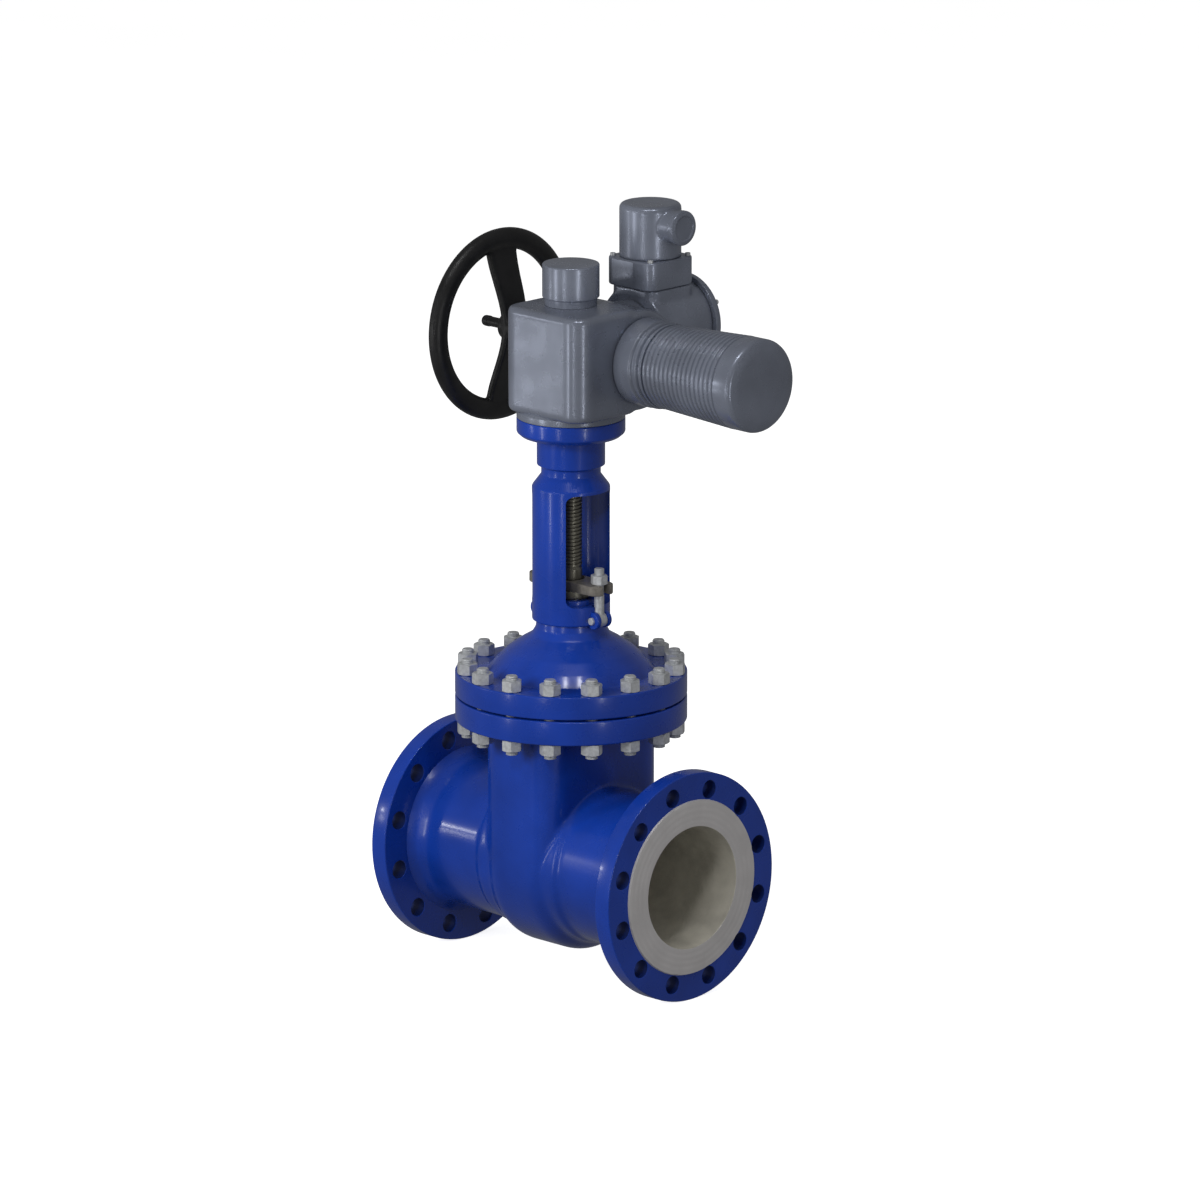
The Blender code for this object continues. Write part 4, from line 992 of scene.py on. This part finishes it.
# %% The cap over the stem
CAP_TOP = 981
cap = [
    (38, GEAR_Z[1] + GAP), (42, GEAR_Z[1] + GAP), (42, GEAR_Z[1] + 12, 1), (46, GEAR_Z[1] + 13, 1.5),
    (46, CAP_TOP, 2.5), (0, CAP_TOP), (0, CAP_TOP - 5), (38, CAP_TOP - 5, 2),
]
piece("stem_cap", spun(cap), grey_paint, ["stem_cover"])

# %% [markdown]
# ## The motor
# The motor bolts on through a round adapter. Its aluminium shell has cooling fins round it, and ends in a
# domed cap. A finned shell is a spun comb. The fins have round tips, which catch the light one by one.

# %% Adapter
ADAPTER = (102.3, 165)
adapter = [
    (30, ADAPTER[0]), (68, ADAPTER[0], 2), (71, ADAPTER[0] + 5, 3), (71, 140, 3),
    (66, 143, 2), (66, 147, 2), (70.5, 149, 1.5), (70.5, 154, 1.5),
    (65, 156, 2), (65, 159, 2), (69, 161, 1), (69, ADAPTER[1], 1), (30, ADAPTER[1]),
]
adapter_solid = spun(adapter, 128, "X", DRIVE)
piece("motor_adapter_ring", adapter_solid, grey_paint, ["motor_adapter"])

# %% Finned shell
SHELL = (165.3, 330)
FINS = 16
FIN_HEIGHT = 3
FIN_ROOT = 65
SHELL_INNER_R = 60
TAPER = 0.5
pitch = (SHELL[1] - SHELL[0]) / FINS
comb = [(SHELL_INNER_R, SHELL[0]), (FIN_ROOT, SHELL[0])]
for k in range(FINS):
    start = SHELL[0] + pitch * k
    root = FIN_ROOT + TAPER * k
    comb += [(root, start + 1, 0.8), (root + FIN_HEIGHT, start + pitch * 0.3, 1.6)]
    comb += [(root + FIN_HEIGHT, start + pitch * 0.7, 1.6), (root, start + pitch - 1, 0.8)]
comb += [(FIN_ROOT + TAPER * FINS, SHELL[1]), (SHELL_INNER_R, SHELL[1])]
shell = spun(comb, 128, "X", DRIVE)
piece("finned_shell", shell, grey_paint, ["motor_housing"])

# %% Domed end cap
END = 374
dome_cap = [
    (60, SHELL[1] + GAP), (75.3, SHELL[1] + GAP, 1), (75.5, END - 9, 9), (58, END - 4, 40), (0, END),
    (0, 354), (60, 350, 4),
]
piece("domed_cap", spun(dome_cap, 128, "X", DRIVE), grey_paint, ["motor_end_cap"])

# %% [markdown]
# ## The handwheel
# In a power cut the valve is closed by hand. The wheel is one moulding: an oval rim, one flat bar
# across it as two arms, and a hub that sits closer to the gearbox. Rim, arms and hub are joined and cast,
# which gives the soft fillets of a moulding.

# %% Rim, arms and hub
RIM_R = 140.5
RIM_X = -222
HUB_X = (-208, -170)
RIM_HALF = (17.5, 13.5)
HAND = (0, WORM_Y, 838)


def rim():
    """An oval section spun about Z at the rim's radius, then turned onto the handwheel's axis."""
    bm = bmesh.new()
    bmesh.ops.create_circle(bm, segments=28, radius=MM)
    bmesh.ops.scale(bm, vec=(RIM_HALF[0], RIM_HALF[1], 1), verts=bm.verts)
    bmesh.ops.rotate(bm, verts=bm.verts, matrix=Matrix.Rotation(pi / 2, 3, "X"))
    bmesh.ops.translate(bm, vec=(RIM_R * MM, 0, 0), verts=bm.verts)
    geom = bm.verts[:] + bm.edges[:]
    bmesh.ops.spin(bm, geom=geom, cent=(0, 0, 0), axis=(0, 0, 1), angle=2 * pi, steps=128, use_merge=True)
    return moved(cleaned(bm), (RIM_X, *HAND[1:]), "X")


def arm(side):
    """Half the bar: wide and forward at the rim, narrower and set back at the hub."""
    bm = bmesh.new()
    bmesh.ops.create_cube(bm, size=MM)
    bmesh.ops.scale(bm, vec=(15, 48, RIM_R), verts=bm.verts)
    bmesh.ops.translate(bm, vec=(0, 0, RIM_R * MM / 2), verts=bm.verts)
    long_way = [e for e in bm.edges if upright_edge(e)]
    bmesh.ops.subdivide_edges(bm, edges=long_way, cuts=9, use_grid_fill=True)
    set_back = sum(HUB_X) / 2 - RIM_X
    for v in bm.verts:
        out = v.co.z / (RIM_R * MM)
        v.co.y *= 1 + 0.3 * out
        v.co.x += set_back * MM * (0.5 + 0.5 * cos(pi * out))
    bevelled(bm, [e for e in bm.edges if e.calc_face_angle(0) > 1 and upright_edge(e)], 4, 3)
    bmesh.ops.rotate(bm, verts=bm.verts, matrix=Matrix.Rotation(0 if side > 0 else pi, 3, "X"))
    return moved(cleaned(bm), (RIM_X, *HAND[1:]))


hub = spun(disc(24, *HUB_X, 4), 64, "X", HAND)
wheel = cast(joined(rim(), arm(1), arm(-1), hub), 2.0, 8)
button_hole = spun(rod(9.3, HUB_X[0] - 20, -182), 40, "X", HAND)
shaft_hole = spun(rod(11.3, -184, HUB_X[1] + 5), 40, "X", HAND)
wheel = cut(wheel, button_hole, shaft_hole)
piece("hand_wheel", wheel, black_plastic, ["handwheel"], "handwheel_set")

# %% Shaft, button and bearing cover
SHAFT_X = (-183.6, -72.3)
shaft = [
    (0, SHAFT_X[0]), (11, SHAFT_X[0], 1), (11, -162), (10, -161),
    (10, -159.5), (11, -158.5), (11, SHAFT_X[1], 0.5), (0, SHAFT_X[1]),
]
shaft = spun(shaft, 48, "X", HAND)
piece("wheel_shaft", shaft, ground_steel, ["handwheel_shaft"], "handwheel_set")
button = [(0, -259), (8, -259, 3), (9, -255, 2), (9, -246, 1), (8.2, -245), (8.2, -193), (0, -193)]
button = spun(button, 40, "X", HAND)
piece("push_button", button, black_plastic, ["manual_button"], "manual_button_set")
side_cover = [
    (11.3, -158), (21, -158, 2), (26, -150, 4), (30, -102, 8), (47, -92, 4), (48, -75.3, 1), (11.3, -75.3),
]
piece("bearing_cover", spun(side_cover, 96, "X", HAND), grey_paint, ["handwheel_side_cover"])

# %% [markdown]
# ## Switches and the plug
# Behind the motor sits a drum with the limit switches, closed by a round cover. On top of it a square
# frame carries the plug that brings in power and signals, with one cable entry on its side.

# %% Switch drum with its boss
SWITCH_Y = (112.3, 229)
SWITCH_R = 70
PLUG_Y = 155
SOCKET = (928, 974)
PLUG_AXIS = (SWITCH_X, PLUG_Y, 0)
BOSS_HALF = 51
drum = [(0, SWITCH_Y[0]), (SWITCH_R, SWITCH_Y[0], 2), (SWITCH_R, SWITCH_Y[1], 1.5), (0, SWITCH_Y[1])]
drum = spun(drum, 128, "Y", SWITCH_AXIS)
boss_low = (SWITCH_X - BOSS_HALF, PLUG_Y - 42, SWITCH_Z + 20)
boss_high = (SWITCH_X + BOSS_HALF, PLUG_Y + BOSS_HALF, SOCKET[0] - GAP)
plug_boss = block(boss_low, boss_high, 16)
drum = cast(joined(drum, plug_boss), 2.4, 8)
drum = cut(
    drum,
    spun(rod(62, SWITCH_Y[0] + 8, SWITCH_Y[1] + 5), 96, "Y", SWITCH_AXIS),
    spun(rod(14, SWITCH_Y[0] - 5, SWITCH_Y[0] + 12), 32, "Y", SWITCH_AXIS),
    spun(rod(30, SWITCH_Z + 20, SOCKET[0] + 5), 48, at=PLUG_AXIS),
)
piece("switch_drum", drum, grey_paint, ["switch_housing"])

# %% Round cover of the switches
near = SWITCH_Y[1] + GAP
lid = [
    (62, near + 9, 1), (62, near), (77, near, 1.5), (77, near + 10, 4),
    (70, near + 16, 5), (0, near + 18), (0, near + 9),
]
piece("switch_lid", spun(lid, 128, "Y", SWITCH_AXIS), grey_paint, ["switch_cover"])

# %% Socket frame
HALF = 53
frame_low = (SWITCH_X - HALF, PLUG_Y - HALF, SOCKET[0])
frame_high = (SWITCH_X + HALF, PLUG_Y + HALF, SOCKET[1])
frame_block = block(frame_low, frame_high, 20, 3, 8)
frame_block = cut(frame_block, spun(rod(34, SOCKET[0] - 5, SOCKET[1] + 5), 64, at=PLUG_AXIS))
piece("plug_frame", frame_block, grey_paint, ["socket_frame"])

# %% Plug cover with its cable entry
PLUG_R = 50
PLUG_TOP = 1061
ENTRY_X = 103
ENTRY = (0, PLUG_Y, 1029)
bell = [(0, SOCKET[1] + GAP), (PLUG_R, SOCKET[1] + GAP, 1.5), (PLUG_R, PLUG_TOP, 8), (0, PLUG_TOP)]
bell = spun(bell, 128, at=PLUG_AXIS)
entry_boss = spun(rod(26, SWITCH_X + 10, ENTRY_X - 12.3), 96, "X", ENTRY)
bell = cast(joined(bell, entry_boss), 1.9, 6)
room = spun(rod(PLUG_R - 6, SOCKET[1] - 5, PLUG_TOP - 6), 96, at=PLUG_AXIS)
bell = cut(bell, room, spun(rod(16, SWITCH_X + 15, ENTRY_X + 5), 48, "X", ENTRY))
piece("plug_bell", bell, grey_paint, ["plug_cover"])
entry = [
    (0, ENTRY_X - 24), (15.5, ENTRY_X - 24), (15.5, ENTRY_X - 11.7), (28.5, ENTRY_X - 11.7, 1.5),
    (28.5, ENTRY_X - 3, 2), (21, ENTRY_X - 0.5, 1), (19, ENTRY_X - 2.5, 1), (0, ENTRY_X - 2.5),
]
piece("entry_plug", spun(entry, 96, "X", ENTRY), grey_paint, ["cable_entry_plug"])

# %% [markdown]
# ## Small screws
# Covers are held by socket screws. One screw is a short head with a hexagonal socket, and each group
# is one mesh of separate screws round its cover. They are small, so a few dozen faces are enough.


# %% Socket screws
def socket_screw(radius, length):
    """A cap screw that stands on the origin, its head up and its shank going down."""
    waist, top = radius * 0.55, radius * 0.95
    screw = spun([(0, -length), (waist, -length), (waist, 0), (radius, 0), (radius, top, 0.6), (0, top)], 24)
    socket = bmesh.new()
    reach = radius * MM
    bmesh.ops.create_cone(
        socket, cap_ends=True, segments=6, radius1=reach * 0.55, radius2=reach * 0.55, depth=reach * 1.2,
        matrix=Matrix.Translation((0, 0, reach * 1.1)),
    )
    return cut(screw, socket)


def ring_of(screw, circle, count, height):
    """Copies of a screw on a circle about Z, at a height."""
    copies = []
    for k in range(count):
        angle = 2 * pi * (k + 0.5) / count
        place = Vector((circle * cos(angle), circle * sin(angle), height)) * MM
        copies.append(copied(screw, Matrix.Translation(place)))
    screw.free()
    return gathered(*copies)


plug_screws = moved(ring_of(socket_screw(4.5, 6), 60, 4, SOCKET[1] + 0.1), PLUG_AXIS)
piece("plug_screws", plug_screws, zinc)
lid_screws = moved(ring_of(socket_screw(4, 5), 73, 6, near + 11), SWITCH_AXIS, "Y")
piece("switch_lid_screws", lid_screws, zinc)

# %% [markdown]
# ## Pieces that keep their engineering shape
# What lies inside keeps its own mesh: gasket, packing, bearings, wheel, worm, rotor, stator, switch block
# and plug insert. Each only needs its finish, assigned to its material slots.

# %% Finishes of the inner pieces
INNER = {
    graphite: ["bonnet_gasket", "gland_packing"],
    bronze: ["backseat_bush", "stem_nut", "worm_wheel"],
    shaft_steel: ["drive_sleeve", "sleeve_bearing_lower", "sleeve_bearing_upper"],
    ground_steel: ["worm_shaft", "motor_rotor", "worm_bearing_handwheel_side", "worm_bearing_motor_side"],
    winding: ["motor_stator"],
    resin: ["limit_switch_block", "plug_insert"],
}
for finish, names in INNER.items():
    for name in names:
        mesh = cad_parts[name].data
        mesh.materials.clear()
        mesh.materials.append(finish)
print(sum(len(names) for names in INNER.values()), "inner pieces finished")

# %% [markdown]
# ## The floor
# The valve stands on a light table: a pale sheet lit from below, which stays near white while the room
# is dim, and still takes a soft shadow. It is far wider than the valve, and isn't part of it.


# %% Pale floor
def pale_floor():
    made, nodes, links, shader, where = new_finish("studio_floor")
    cloud = spread(nodes, links, noise(nodes, links, where, 3, 2), 0.0, 1.0)
    tone = blend_colours(nodes, links, cloud, (0.82, 0.82, 0.82), (0.86, 0.86, 0.86))
    links.new(tone, shader.inputs["Base Color"])
    shader.inputs["Roughness"].default_value = 0.9
    shader.inputs["Emission Color"].default_value = (1, 1, 1, 1)
    shader.inputs["Emission Strength"].default_value = 0.84
    return made


floor_shape = bmesh.new()
bmesh.ops.create_grid(floor_shape, x_segments=1, y_segments=1, size=30)
bmesh.ops.translate(floor_shape, vec=(0, 0, cad_box[0].z), verts=floor_shape.verts)
floor_mesh = bpy.data.meshes.new("floor")
floor_shape.to_mesh(floor_mesh)
floor_shape.free()
floor_mesh.materials.append(pale_floor())
floor = bpy.data.objects.new("floor", floor_mesh)
floor.visible_diffuse = floor.visible_glossy = False
bpy.context.scene.collection.objects.link(floor)
floor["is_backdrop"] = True

# %% Both boxes
visual_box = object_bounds()
boxes = {"cad": [list(corner) for corner in cad_box], "visual": [list(corner) for corner in visual_box]}
for label, (low, high) in boxes.items():
    print(label, "box, mm:", [round((b - a) * 1000, 1) for a, b in zip(low, high)])
